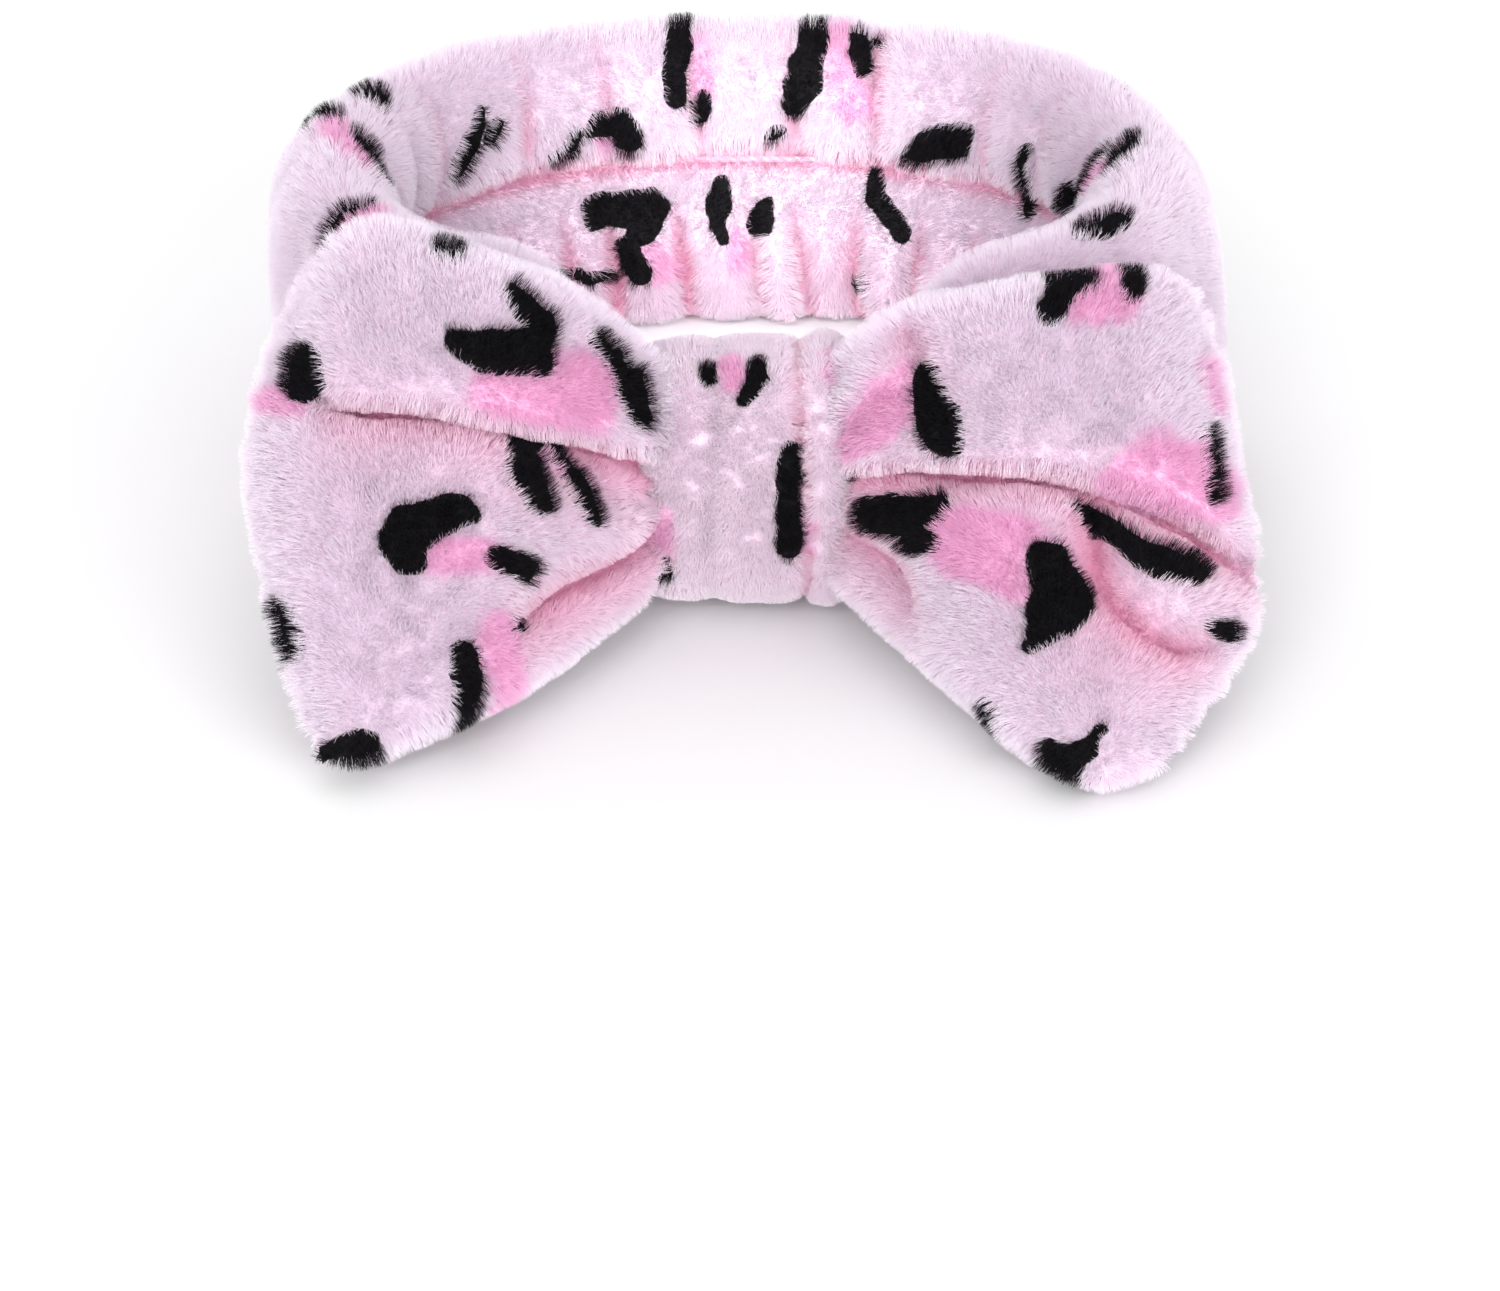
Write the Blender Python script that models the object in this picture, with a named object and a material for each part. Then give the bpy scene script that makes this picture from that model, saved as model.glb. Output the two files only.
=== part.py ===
"""Spa headband: a soft elastic head band with a large bow on its front.

The band stands on its lower edge, as it lies on a table: +Z is up, the bow faces -Y, and the
origin is on the table under the middle of the whole object. Its fleece sleeve is a hollow tube
that runs once round the head, with an elastic strip inside its rear half. The sleeve's two ends
meet at the front, under a fleece knot that also holds the gathered waist of the bow.
Run with: blender --background --python part.py
"""
import math

import bmesh
import bpy
from mathutils import Matrix, Vector

# Sizes in metres. Places called "local" count from the middle of the ring, not from the origin.
RING_CENTRE_Y = 0.0341         # the ring's middle, behind the middle of ring and bow together
RING_HALF_X = 0.100
RING_HALF_Y = 0.078
RING_POWER = 2.3               # 2 is an ellipse, and more is squarer
SLEEVE_HEIGHT = 0.070
SLEEVE_DEPTH = 0.024           # across the puffed tube, from the head outwards
SLEEVE_WALL = 0.003            # one layer of fleece with its pile pressed down
PINCHED_HEIGHT = 0.0375        # the sleeve's section under the knot
PINCHED_DEPTH = 0.009
PINCH_END = 0.0215             # where the sleeve starts to widen, along the ring from the front
FLARE_END = 0.050
SIDE_JOIN_Y = 0.020            # local Y where the front and the rear of the sleeve meet
NECK_LENGTH = 0.038            # how far the rear's ends reach into the front's sides
NECK_X = 0.0866                # the straight line that both neck and elastic keep to
NECK_HEIGHT = 0.054
NECK_DEPTH = 0.013
NECK_WALL = 0.0025

ELASTIC_HEIGHT = 0.025
ELASTIC_THICKNESS = 0.0012
ELASTIC_END_Y = -0.032         # local Y of the elastic's two front ends
SEAM_HEIGHT = 0.040            # the sleeve's closing seam, on the side towards the head

KNOT_HALF_WIDTH = 0.0203
KNOT_WALL = 0.0035
KNOT_BOTTOM = 0.006
KNOT_TOP = 0.0585
KNOT_FRONT = -0.0858           # local Y of the knot's front and back faces
KNOT_BACK = -0.0562
KNOT_CORNER = 0.009

WAIST_Y = -0.0768              # local Y of the bow's waist, which is also the hinges' line
WAIST_HALF_LENGTH = 0.0256
WAIST_HALF_DEPTH = 0.0046
WAIST_HALF_HEIGHT = 0.0212
WOUND_HALF_DEPTH = 0.0038      # the waist where the thread pulls it in
WOUND_HALF_HEIGHT = 0.0198
HINGE_X = 0.0260
WING_SKIN = 0.0020
WADDING_GAP = 0.0028
CAVITY_END = 0.967             # shares of the wing's length, from the waist
EDGE_SEAM_AT = 0.932
WADDING_SPAN = (0.10, 0.890)
THREAD = 0.0010

GAP = 0.0003                   # what touching pieces keep between them
SECTION_POINTS = 12
SECTION_POWER = 2.8
MIDDLE_Z = SLEEVE_HEIGHT / 2

# Each wing's middle surface: rows from the waist to the outer edge, and in each row five points
# from the lower rim to the upper one, in local millimetres. The lower rims come forward, because
# the table holds them up, and the upper rims lean back over the band.
LEFT_WING = (
    ((-26.6, -76.8, 9), (-26.6, -76.8, 21), (-26.6, -76.8, 32), (-26.6, -76.8, 44), (-26.6, -76.8, 56)),
    ((-46, -125, 12), (-50, -107, 26), (-50, -93, 44), (-50, -84, 61), (-46, -75, 78)),
    ((-70, -140, 8), (-75, -112, 26), (-76, -93, 46), (-75, -79, 65), (-70, -67, 82)),
    ((-81, -141, 6), (-92, -109, 27), (-95, -92, 46), (-90, -79, 64), (-80, -67, 80)),
)
RIGHT_WING = (
    ((26.6, -76.8, 9), (26.6, -76.8, 21), (26.6, -76.8, 32), (26.6, -76.8, 44), (26.6, -76.8, 56)),
    ((43, -128, 12), (49, -109, 24), (50, -94, 40), (49, -85, 56), (44, -78, 70)),
    ((65, -146, 7), (75, -115, 23), (75, -94, 42), (73, -80, 57), (69, -71, 71)),
    ((79, -139, 6), (97, -109, 21), (95, -93, 42), (91, -80, 57), (83, -70, 71)),
)
WING_HALF_THICKNESS = 0.0155
MOUTH_HALF_THICKNESS = 0.0040
EDGE_HALF_THICKNESS = 0.0016
WING_ROUND_START = 0.55        # share of the wing's length where its outer rounding starts
WING_STATIONS = 10
WING_POINTS = 16

FLEECE_PINK = (0.90, 0.76, 0.82, 1)
KNOT_PINK = (0.89, 0.73, 0.80, 1)
ELASTIC_WHITE = (0.88, 0.87, 0.86, 1)
THREAD_PINK = (0.80, 0.52, 0.62, 1)
WADDING_WHITE = (0.93, 0.93, 0.92, 1)


def clear_scene():
    """Remove every object, so that the script gives the same result in any file."""
    for obj in list(bpy.data.objects):
        bpy.data.objects.remove(obj, do_unlink=True)


def material(name, colour, roughness):
    """A plain Principled material."""
    made = bpy.data.materials.new(name)
    made.use_nodes = True
    shader = made.node_tree.nodes["Principled BSDF"]
    shader.inputs["Base Color"].default_value = colour
    shader.inputs["Roughness"].default_value = roughness
    shader.inputs["Metallic"].default_value = 0.0
    return made


def add_object(name, data, made_material, collection, parent=None):
    """Link one named piece, with its mesh or curve in world coordinates."""
    obj = bpy.data.objects.new(name, data)
    data.materials.append(made_material)
    collection.objects.link(obj)
    if parent:
        obj.parent = parent
        obj.matrix_parent_inverse = Matrix.Translation(-parent.location)
    return obj


def add_empty(name, location, collection):
    """A joint's frame, on its axis."""
    empty = bpy.data.objects.new(name, None)
    empty.empty_display_size = 0.02
    empty.location = location
    collection.objects.link(empty)
    return empty


def from_local(x, y, z):
    """A local point in world coordinates."""
    return Vector((x, y + RING_CENTRE_Y, z))


# ---- The ring's path ---------------------------------------------------------------------------

def ring_table(samples=1440):
    """Distances along the ring's middle line, from its front towards +X, with their points."""
    half_x = RING_HALF_X - SLEEVE_DEPTH / 2
    half_y = RING_HALF_Y - SLEEVE_DEPTH / 2
    table = []
    distance = 0.0
    for k in range(samples + 1):
        angle = 2 * math.pi * k / samples
        side, front = math.sin(angle), -math.cos(angle)
        point = Vector((
            half_x * math.copysign(abs(side) ** (2 / RING_POWER), side),
            half_y * math.copysign(abs(front) ** (2 / RING_POWER), front),
        ))
        if table:
            distance += (point - table[-1][1]).length
        table.append((distance, point))
    return table


RING = ring_table()
RING_LENGTH = RING[-1][0]


def ring_point(distance):
    """The ring's middle line at a distance from the front, in local X and Y."""
    distance %= RING_LENGTH
    low, high = 0, len(RING) - 1
    while high - low > 1:
        middle = (low + high) // 2
        if RING[middle][0] <= distance:
            low = middle
        else:
            high = middle
    start, end = RING[low], RING[high]
    share = (distance - start[0]) / (end[0] - start[0])
    return start[1].lerp(end[1], share)


def ring_place(distance):
    """A point on the ring's middle line, and the level direction that points outwards there."""
    step = 0.0005
    point = ring_point(distance)
    along = ring_point(distance + step) - ring_point(distance - step)
    outwards = Vector((along.y, -along.x, 0)).normalized()
    return from_local(point.x, point.y, MIDDLE_Z), outwards


def distance_at_side(local_y):
    """How far along the ring its +X side reaches a local Y."""
    return next(d for d, point in RING if point.y >= local_y)


def smooth_step(low, high, value):
    """0 below low, 1 above high, and an even turn between them."""
    share = min(max((value - low) / (high - low), 0), 1)
    return share * share * (3 - 2 * share)


def spaced(start, end, count):
    """Evenly spaced values, both ends included."""
    return [start + (end - start) * k / (count - 1) for k in range(count)]


# ---- Meshes made of rings of points ------------------------------------------------------------

def tube_section(place, half_depth, half_height):
    """A fabric tube's outline, a rounded box with level facets at its top and bottom."""
    centre, outwards = place
    level = math.cos(math.pi / SECTION_POINTS) ** (2 / SECTION_POWER)
    points = []
    for k in range(SECTION_POINTS):
        angle = 2 * math.pi * (k + 0.5) / SECTION_POINTS
        across, up = math.cos(angle), math.sin(angle)
        across = math.copysign(abs(across) ** (2 / SECTION_POWER), across)
        up = math.copysign(abs(up) ** (2 / SECTION_POWER), up) / level
        points.append(centre + outwards * across * half_depth + Vector((0, 0, up * half_height)))
    return points


def add_rings(bm, sections):
    """Join sections of equally many points with strips of faces. Returns the rings of vertices."""
    rings = [[bm.verts.new(point) for point in section] for section in sections]
    for first, second in zip(rings, rings[1:]):
        bridge(bm, first, second)
    return rings


def bridge(bm, first, second):
    """One strip of faces between two rings."""
    count = len(first)
    for k in range(count):
        after = (k + 1) % count
        bm.faces.new((first[k], first[after], second[after], second[k]))


def finish_mesh(name, bm, flat_angle=math.radians(35)):
    """Turn a closed bmesh into a smooth-shaded mesh with its faces pointing out."""
    bmesh.ops.recalc_face_normals(bm, faces=bm.faces)
    mesh = bpy.data.meshes.new(name)
    bm.to_mesh(mesh)
    bm.free()
    mesh.shade_smooth()
    mesh.set_sharp_from_angle(angle=flat_angle)
    return mesh


def hollow_mesh(name, outer, inner):
    """A tube with a wall: outer and inner sections, joined by a rim at both open ends."""
    bm = bmesh.new()
    outer_rings = add_rings(bm, outer)
    inner_rings = add_rings(bm, inner)
    bridge(bm, outer_rings[0], inner_rings[0])
    bridge(bm, outer_rings[-1], inner_rings[-1])
    return finish_mesh(name, bm)


def solid_mesh(name, sections):
    """A filled form through its sections, capped at both ends."""
    bm = bmesh.new()
    rings = add_rings(bm, sections)
    bm.faces.new(rings[0])
    bm.faces.new(rings[-1])
    return finish_mesh(name, bm)


def thread_curve(name, points, diameter):
    """A round thread or sewn ridge along a chain of points."""
    curve = bpy.data.curves.new(name, "CURVE")
    curve.dimensions = "3D"
    curve.bevel_depth = diameter / 2
    curve.bevel_resolution = 1
    curve.use_fill_caps = True
    spline = curve.splines.new("POLY")
    spline.points.add(len(points) - 1)
    for slot, point in zip(spline.points, points):
        slot.co = (*point, 1)
    return curve


# ---- The sleeve --------------------------------------------------------------------------------

def sleeve_size(distance):
    """The front sleeve's half depth and half height: pinched under the knot, then full."""
    full = smooth_step(PINCH_END, FLARE_END, abs(distance))
    half_depth = PINCHED_DEPTH / 2 + full * (SLEEVE_DEPTH - PINCHED_DEPTH) / 2
    half_height = PINCHED_HEIGHT / 2 + full * (SLEEVE_HEIGHT - PINCHED_HEIGHT) / 2
    return half_depth, half_height


def front_sleeve(name, side):
    """Half of the front sleeve, from the front seam to the ring's side (side is 1 or -1)."""
    start = THREAD / 2 + GAP
    end = distance_at_side(SIDE_JOIN_Y)
    distances = [start, *spaced(start + 0.010, PINCH_END, 2), *spaced(PINCH_END + 0.004, FLARE_END, 4)]
    distances += spaced(FLARE_END + 0.010, end, 12)
    outer, inner = [], []
    for distance in distances:
        half_depth, half_height = sleeve_size(distance)
        place = ring_place(side * distance)
        outer.append(tube_section(place, half_depth, half_height))
        inner.append(tube_section(place, half_depth - SLEEVE_WALL, half_height - SLEEVE_WALL))
    return hollow_mesh(name, outer, inner)


def neck_place(side, local_y):
    """A place on the straight line that the rear sleeve's ends slide along."""
    return from_local(side * NECK_X, local_y, MIDDLE_Z), Vector((side, 0, 0))


def rear_sleeve(name):
    """The gathered rear of the sleeve, with a slimmer neck at each end that slides in the front."""
    join = distance_at_side(SIDE_JOIN_Y)
    neck_start = SIDE_JOIN_Y - NECK_LENGTH
    neck_half = (NECK_DEPTH / 2, NECK_HEIGHT / 2)
    full_half = (SLEEVE_DEPTH / 2, SLEEVE_HEIGHT / 2)
    places = []
    for side in (1, -1):
        outer = [(neck_place(side, y), neck_half) for y in spaced(neck_start, SIDE_JOIN_Y - 0.002, 3)]
        outer.append((ring_place(side * (join + 0.0004)), neck_half))
        inner = [(place, (half[0] - NECK_WALL, half[1] - NECK_WALL)) for place, half in outer]
        inner.append((ring_place(side * (join + 0.0032)), inner[-1][1]))
        places.append((outer, inner))
    body = spaced(join + 0.0006, RING_LENGTH - join - 0.0006, 30)
    cavity = spaced(join + 0.0036, RING_LENGTH - join - 0.0036, 30)
    cavity_half = (full_half[0] - SLEEVE_WALL, full_half[1] - SLEEVE_WALL)
    outer = places[0][0] + [(ring_place(d), full_half) for d in body] + places[1][0][::-1]
    inner = places[0][1] + [(ring_place(d), cavity_half) for d in cavity] + places[1][1][::-1]
    return hollow_mesh(
        name,
        [tube_section(place, *half) for place, half in outer],
        [tube_section(place, *half) for place, half in inner],
    )


def end_seam(name):
    """The seam that joins the sleeve's two ends: a thin loop between them."""
    half_depth, half_height = PINCHED_DEPTH / 2, PINCHED_HEIGHT / 2
    places = [ring_place(side * (THREAD / 2)) for side in (-1, 1)]
    outer = [tube_section(place, half_depth - 0.0005, half_height - 0.0005) for place in places]
    inner = [tube_section(place, half_depth - SLEEVE_WALL, half_height - SLEEVE_WALL) for place in places]
    return hollow_mesh(name, outer, inner)


def closing_seam(name, start, end, count):
    """The sewn ridge inside the sleeve's head side that closes it into a tube."""
    inset = SLEEVE_DEPTH / 2 - SLEEVE_WALL - 0.0020
    points = []
    for distance in spaced(start, end, count):
        centre, outwards = ring_place(distance)
        points.append(centre - outwards * inset + Vector((0, 0, SEAM_HEIGHT - MIDDLE_Z)))
    return thread_curve(name, points, 0.0016)


def elastic(name):
    """The woven elastic strip: round the rear, and straight inside both of the sleeve's sides."""
    join = distance_at_side(SIDE_JOIN_Y)
    places = [neck_place(1, y) for y in spaced(ELASTIC_END_Y, SIDE_JOIN_Y - 0.002, 4)]
    places += [ring_place(d) for d in spaced(join + 0.010, RING_LENGTH - join - 0.010, 28)]
    places += [neck_place(-1, y) for y in spaced(SIDE_JOIN_Y - 0.002, ELASTIC_END_Y, 4)]
    across, up = ELASTIC_THICKNESS / 2, ELASTIC_HEIGHT / 2
    corners = ((-across, -up), (across, -up), (across, up), (-across, up))
    sections = [
        [centre + outwards * a + Vector((0, 0, b)) for a, b in corners] for centre, outwards in places
    ]
    return solid_mesh(name, sections)


def block(name, low, high, rounding):
    """A small block between two world corners, with rounded edges."""
    bm = bmesh.new()
    bmesh.ops.create_cube(bm, size=1)
    size = high - low
    bmesh.ops.scale(bm, vec=size, verts=bm.verts)
    bmesh.ops.translate(bm, vec=(low + high) / 2, verts=bm.verts)
    bmesh.ops.bevel(bm, geom=bm.edges[:], offset=rounding, segments=1, affect="EDGES")
    return finish_mesh(name, bm)


def elastic_tack(name, side):
    """The bar of stitches that holds one end of the elastic to the sleeve."""
    inner_x = NECK_X + ELASTIC_THICKNESS / 2 + GAP
    low = from_local(min(side * inner_x, side * (inner_x + 0.0020)), ELASTIC_END_Y + 0.002, 0.024)
    high = from_local(max(side * inner_x, side * (inner_x + 0.0020)), ELASTIC_END_Y + 0.008, 0.042)
    return block(name, low, high, 0.0004)


# ---- The bow's middle and the knot -------------------------------------------------------------

def box_outline(half_y, half_z, corner, steps=3):
    """A rounded rectangle in Y and Z about its middle."""
    points = []
    for quarter in range(4):
        turn = math.pi / 2 * quarter
        centre_y = (half_y - corner) * (1 if quarter in (0, 3) else -1)
        centre_z = (half_z - corner) * (1 if quarter in (0, 1) else -1)
        for k in range(steps + 1):
            angle = turn + math.pi / 2 * k / steps
            points.append((centre_y + corner * math.cos(angle), centre_z + corner * math.sin(angle)))
    return points


def knot_loop(name):
    """The fleece strip wound round the bow's waist and the band."""
    middle = from_local(0, (KNOT_FRONT + KNOT_BACK) / 2, (KNOT_BOTTOM + KNOT_TOP) / 2)
    half_y = (KNOT_BACK - KNOT_FRONT) / 2
    half_z = (KNOT_TOP - KNOT_BOTTOM) / 2
    edge = 0.0012

    def loop(x, inset):
        outline = box_outline(half_y - inset, half_z - inset, KNOT_CORNER - inset)
        return [middle + Vector((x, y, z)) for y, z in outline]

    outer = [loop(-KNOT_HALF_WIDTH, edge), loop(-KNOT_HALF_WIDTH + edge, 0)]
    outer += [loop(KNOT_HALF_WIDTH - edge, 0), loop(KNOT_HALF_WIDTH, edge)]
    inner = [loop(x, KNOT_WALL) for x in (-KNOT_HALF_WIDTH, KNOT_HALF_WIDTH)]
    return hollow_mesh(name, outer, inner)


def bow_waist(name):
    """The bow's gathered middle, thin at both ends and pinched under its winding of thread."""
    right = (
        (0.0044, WOUND_HALF_DEPTH, WOUND_HALF_HEIGHT), (0.0060, WAIST_HALF_DEPTH, WAIST_HALF_HEIGHT),
        (0.0180, WAIST_HALF_DEPTH, WAIST_HALF_HEIGHT), (0.0212, 0.0030, 0.0200),
        (WAIST_HALF_LENGTH, 0.0007, 0.0190),
    )
    stations = [(-x, half_y, half_z) for x, half_y, half_z in reversed(right)] + list(right)
    middle_z = (KNOT_BOTTOM + KNOT_TOP) / 2
    sections = []
    for x, half_y, half_z in stations:
        outline = box_outline(half_y, half_z, half_y * 0.9)
        sections.append([from_local(x, WAIST_Y + y, middle_z + z) for y, z in outline])
    return solid_mesh(name, sections)


def waist_winding(name):
    """The thread wound round the waist to gather it."""
    turns, pitch, clearance = 3, 0.0024, THREAD / 2 + GAP
    corner = WOUND_HALF_DEPTH * 0.9 + clearance
    outline = box_outline(WOUND_HALF_DEPTH + clearance, WOUND_HALF_HEIGHT + clearance, corner, steps=2)
    middle_z = (KNOT_BOTTOM + KNOT_TOP) / 2
    count = len(outline) * turns
    points = []
    for k in range(count + 1):
        y, z = outline[k % len(outline)]
        x = (k / count - 0.5) * turns * pitch
        points.append(from_local(x, WAIST_Y + y, middle_z + z))
    return thread_curve(name, points, THREAD)


def bow_tack(name, low_z):
    """A patch of stitches between the bow's waist and the band behind it."""
    back_of_waist = WAIST_Y + WAIST_HALF_DEPTH
    front_of_band = -(RING_HALF_Y - SLEEVE_DEPTH / 2) - PINCHED_DEPTH / 2
    low = from_local(0.0075, back_of_waist + GAP, low_z)
    high = from_local(0.0155, front_of_band - GAP, low_z + 0.006)
    return block(name, low, high, 0.0001)


def knot_stitch(name):
    """The ladder stitch that closes the knot, across the strip's end on the knot's underside."""
    middle_y = (KNOT_FRONT + KNOT_BACK) / 2
    points = [
        from_local(x, middle_y + 0.0010 * (-1) ** k, KNOT_BOTTOM - THREAD / 2 - GAP)
        for k, x in enumerate(spaced(-KNOT_HALF_WIDTH + 0.004, KNOT_HALF_WIDTH - 0.004, 12))
    ]
    return thread_curve(name, points, THREAD)


# ---- The wings ---------------------------------------------------------------------------------

def through(points, share):
    """A smooth curve through evenly spaced points (Catmull-Rom), at a share of its length."""
    spans = len(points) - 1
    place = min(max(share, 0), 1) * spans
    k = min(int(place), spans - 1)
    t = place - k
    p1, p2 = points[k], points[k + 1]
    p0 = points[k - 1] if k > 0 else 2 * p1 - p2
    p3 = points[k + 2] if k + 2 <= spans else 2 * p2 - p1
    slope1, slope2 = (p2 - p0) / 2, (p3 - p1) / 2
    return (
        p1 * (2 * t**3 - 3 * t**2 + 1) + slope1 * (t**3 - 2 * t**2 + t)
        + p2 * (3 * t**2 - 2 * t**3) + slope2 * (t**3 - t**2)
    )


def wing_point(rows, along, height):
    """The wing's middle surface: along is 0 to 1 from the waist, height -1 to 1 up the row."""
    column = [through(row, (height + 1) / 2) for row in rows]
    return through(column, along)


def wing_frame(rows, along, height):
    """A point of the middle surface and the direction across the wing there, level at the mouth."""
    step = 0.01
    low, high = max(height - step, -1), min(height + step, 1)
    back, front = max(along - step, 0), min(along + step, 1)
    up = wing_point(rows, along, high) - wing_point(rows, along, low)
    out = wing_point(rows, front, height) - wing_point(rows, back, height)
    across = up.cross(out).normalized()
    level = Vector((0, math.copysign(1, across.y), 0))
    return wing_point(rows, along, height), level.lerp(across, smooth_step(0, 0.25, along)).normalized()


def wing_half_thickness(along):
    """Thin at the mouth, full in the middle, and rounded off at the outer edge."""
    swell = smooth_step(-0.15, 0.45, along)
    full = MOUTH_HALF_THICKNESS + (WING_HALF_THICKNESS - MOUTH_HALF_THICKNESS) * swell
    if along <= 0:
        return MOUTH_HALF_THICKNESS
    past = max(along - WING_ROUND_START, 0) / (1 - WING_ROUND_START)
    return max(full * math.sqrt(max(1 - past * past, 0)), EDGE_HALF_THICKNESS)


def wing_sections(rows, inset, start=0.0, end=1.0):
    """The wing's sections, with its surface moved inwards by inset. The last one is its edge."""
    rim = 1 - inset / 0.045
    sections = []
    for k in range(WING_STATIONS):
        share = math.sin(math.pi / 2 * k / (WING_STATIONS - 1))
        along = start + (end - start) * share
        outer_along = start + (1 - start) * share
        half = max(wing_half_thickness(outer_along) - inset, 0.0006)
        section = []
        for j in range(WING_POINTS):
            angle = 2 * math.pi * (j + 0.5) / WING_POINTS
            centre, across = wing_frame(rows, along, -rim * math.cos(angle))
            section.append(centre + across * half * math.sin(angle))
        sections.append(section)
    return sections


def close_edge(bm, ring):
    """Close the wing's outer edge with faces between its front and its back."""
    count = len(ring)
    for k in range(count // 2 - 1):
        bm.faces.new((ring[k], ring[k + 1], ring[count - 2 - k], ring[count - 1 - k]))


def wing_rows(net):
    """A wing's rows of points in world metres."""
    return [[from_local(x / 1000, y / 1000, z / 1000) for x, y, z in row] for row in net]


def wing_shell(name, rows):
    """The wing's fleece: a pillow that is open where it is gathered into the waist."""
    bm = bmesh.new()
    outer = add_rings(bm, wing_sections(rows, 0.0))
    inner = add_rings(bm, wing_sections(rows, WING_SKIN, end=CAVITY_END))
    bridge(bm, outer[0], inner[0])
    close_edge(bm, outer[-1])
    close_edge(bm, inner[-1])
    return finish_mesh(name, bm)


def wing_wadding(name, rows):
    """The light filling that keeps the wing round."""
    bm = bmesh.new()
    rings = add_rings(bm, wing_sections(rows, WING_SKIN + WADDING_GAP, *WADDING_SPAN))
    close_edge(bm, rings[0])
    close_edge(bm, rings[-1])
    return finish_mesh(name, bm)


# ---- The whole headband ------------------------------------------------------------------------

def build():
    """Make every piece, with the moving ones under an empty on their joint's axis."""
    clear_scene()
    pieces = bpy.data.collections.new("spa_headband")
    bpy.context.scene.collection.children.link(pieces)

    fleece = material("coral_fleece", FLEECE_PINK, 0.95)
    knot_fleece = material("knot_fleece", KNOT_PINK, 0.95)
    elastic_weave = material("elastic_weave", ELASTIC_WHITE, 0.70)
    sewing_thread = material("sewing_thread", THREAD_PINK, 0.60)
    wadding = material("polyester_wadding", WADDING_WHITE, 1.0)

    join = distance_at_side(SIDE_JOIN_Y)
    for side, word in ((1, "right"), (-1, "left")):
        name = f"sleeve_{word}"
        add_object(name, front_sleeve(name, side), fleece, pieces)
        name = f"sleeve_seam_{word}"
        seam = closing_seam(name, side * (FLARE_END + 0.002), side * (join - NECK_LENGTH - 0.004), 8)
        add_object(name, seam, sewing_thread, pieces)
        name = f"elastic_tack_{word}"
        add_object(name, elastic_tack(name, side), sewing_thread, pieces)
    add_object("sleeve_end_seam", end_seam("sleeve_end_seam"), sewing_thread, pieces)
    add_object("bow_waist", bow_waist("bow_waist"), fleece, pieces)
    add_object("gather_thread", waist_winding("gather_thread"), sewing_thread, pieces)
    add_object("bow_tack_upper", bow_tack("bow_tack_upper", 0.041), sewing_thread, pieces)
    add_object("bow_tack_lower", bow_tack("bow_tack_lower", 0.019), sewing_thread, pieces)
    add_object("knot_wrap", knot_loop("knot_wrap"), knot_fleece, pieces)
    add_object("knot_closing_stitch", knot_stitch("knot_closing_stitch"), sewing_thread, pieces)

    rear = add_empty("rear_slide", from_local(0, 0, MIDDLE_Z), pieces)
    add_object("sleeve_rear", rear_sleeve("sleeve_rear"), fleece, pieces, rear)
    seam = closing_seam("sleeve_seam_rear", join + 0.010, RING_LENGTH - join - 0.010, 26)
    add_object("sleeve_seam_rear", seam, sewing_thread, pieces, rear)
    add_object("elastic_strip", elastic("elastic_strip"), elastic_weave, pieces, rear)

    for side, word, net in ((-1, "left", LEFT_WING), (1, "right", RIGHT_WING)):
        hinge = add_empty(f"{word}_wing_hinge", from_local(side * HINGE_X, WAIST_Y, MIDDLE_Z), pieces)
        rows = wing_rows(net)
        name = f"bow_shell_{word}"
        add_object(name, wing_shell(name, rows), fleece, pieces, hinge)
        name = f"bow_wadding_{word}"
        add_object(name, wing_wadding(name, rows), wadding, pieces, hinge)
        name = f"bow_edge_seam_{word}"
        edge = [wing_point(rows, EDGE_SEAM_AT, height) for height in spaced(-0.72, 0.72, 12)]
        add_object(name, thread_curve(name, edge, THREAD), sewing_thread, pieces, hinge)


build()
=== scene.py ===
"""The finished spa headband: fleece with its folds, pile and print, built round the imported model.

The CAD solids give the places. One fleece sleeve replaces the three sleeve solids, a padded wing
replaces each bow shell, and a wrapped strip replaces the knot. Threads, elastic and the bow's
inner waist stay CAD pieces and get their own materials.
"""
import math
import bmesh
import bpy
import numpy as np
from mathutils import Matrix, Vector


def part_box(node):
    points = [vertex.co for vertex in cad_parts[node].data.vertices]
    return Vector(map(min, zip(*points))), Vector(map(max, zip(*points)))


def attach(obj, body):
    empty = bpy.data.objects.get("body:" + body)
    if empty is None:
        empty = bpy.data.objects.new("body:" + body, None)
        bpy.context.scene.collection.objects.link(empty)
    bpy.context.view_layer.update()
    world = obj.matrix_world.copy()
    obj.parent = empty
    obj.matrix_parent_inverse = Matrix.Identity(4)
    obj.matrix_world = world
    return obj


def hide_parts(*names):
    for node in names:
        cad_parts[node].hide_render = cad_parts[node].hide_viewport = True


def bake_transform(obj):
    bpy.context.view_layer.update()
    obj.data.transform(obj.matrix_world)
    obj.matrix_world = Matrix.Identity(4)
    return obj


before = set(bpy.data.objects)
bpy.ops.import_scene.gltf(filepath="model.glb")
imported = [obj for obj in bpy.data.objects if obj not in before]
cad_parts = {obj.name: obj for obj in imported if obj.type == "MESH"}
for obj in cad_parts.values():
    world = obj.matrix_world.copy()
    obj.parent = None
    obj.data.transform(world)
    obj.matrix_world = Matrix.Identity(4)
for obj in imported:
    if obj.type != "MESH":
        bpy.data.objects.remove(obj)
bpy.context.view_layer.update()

MM = 0.001


# ---- Places, read from the frame ----

def node_box(name):
    """A CAD node's lowest and highest corners, as arrays."""
    low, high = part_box(name)
    return np.array(low), np.array(high)


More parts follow.
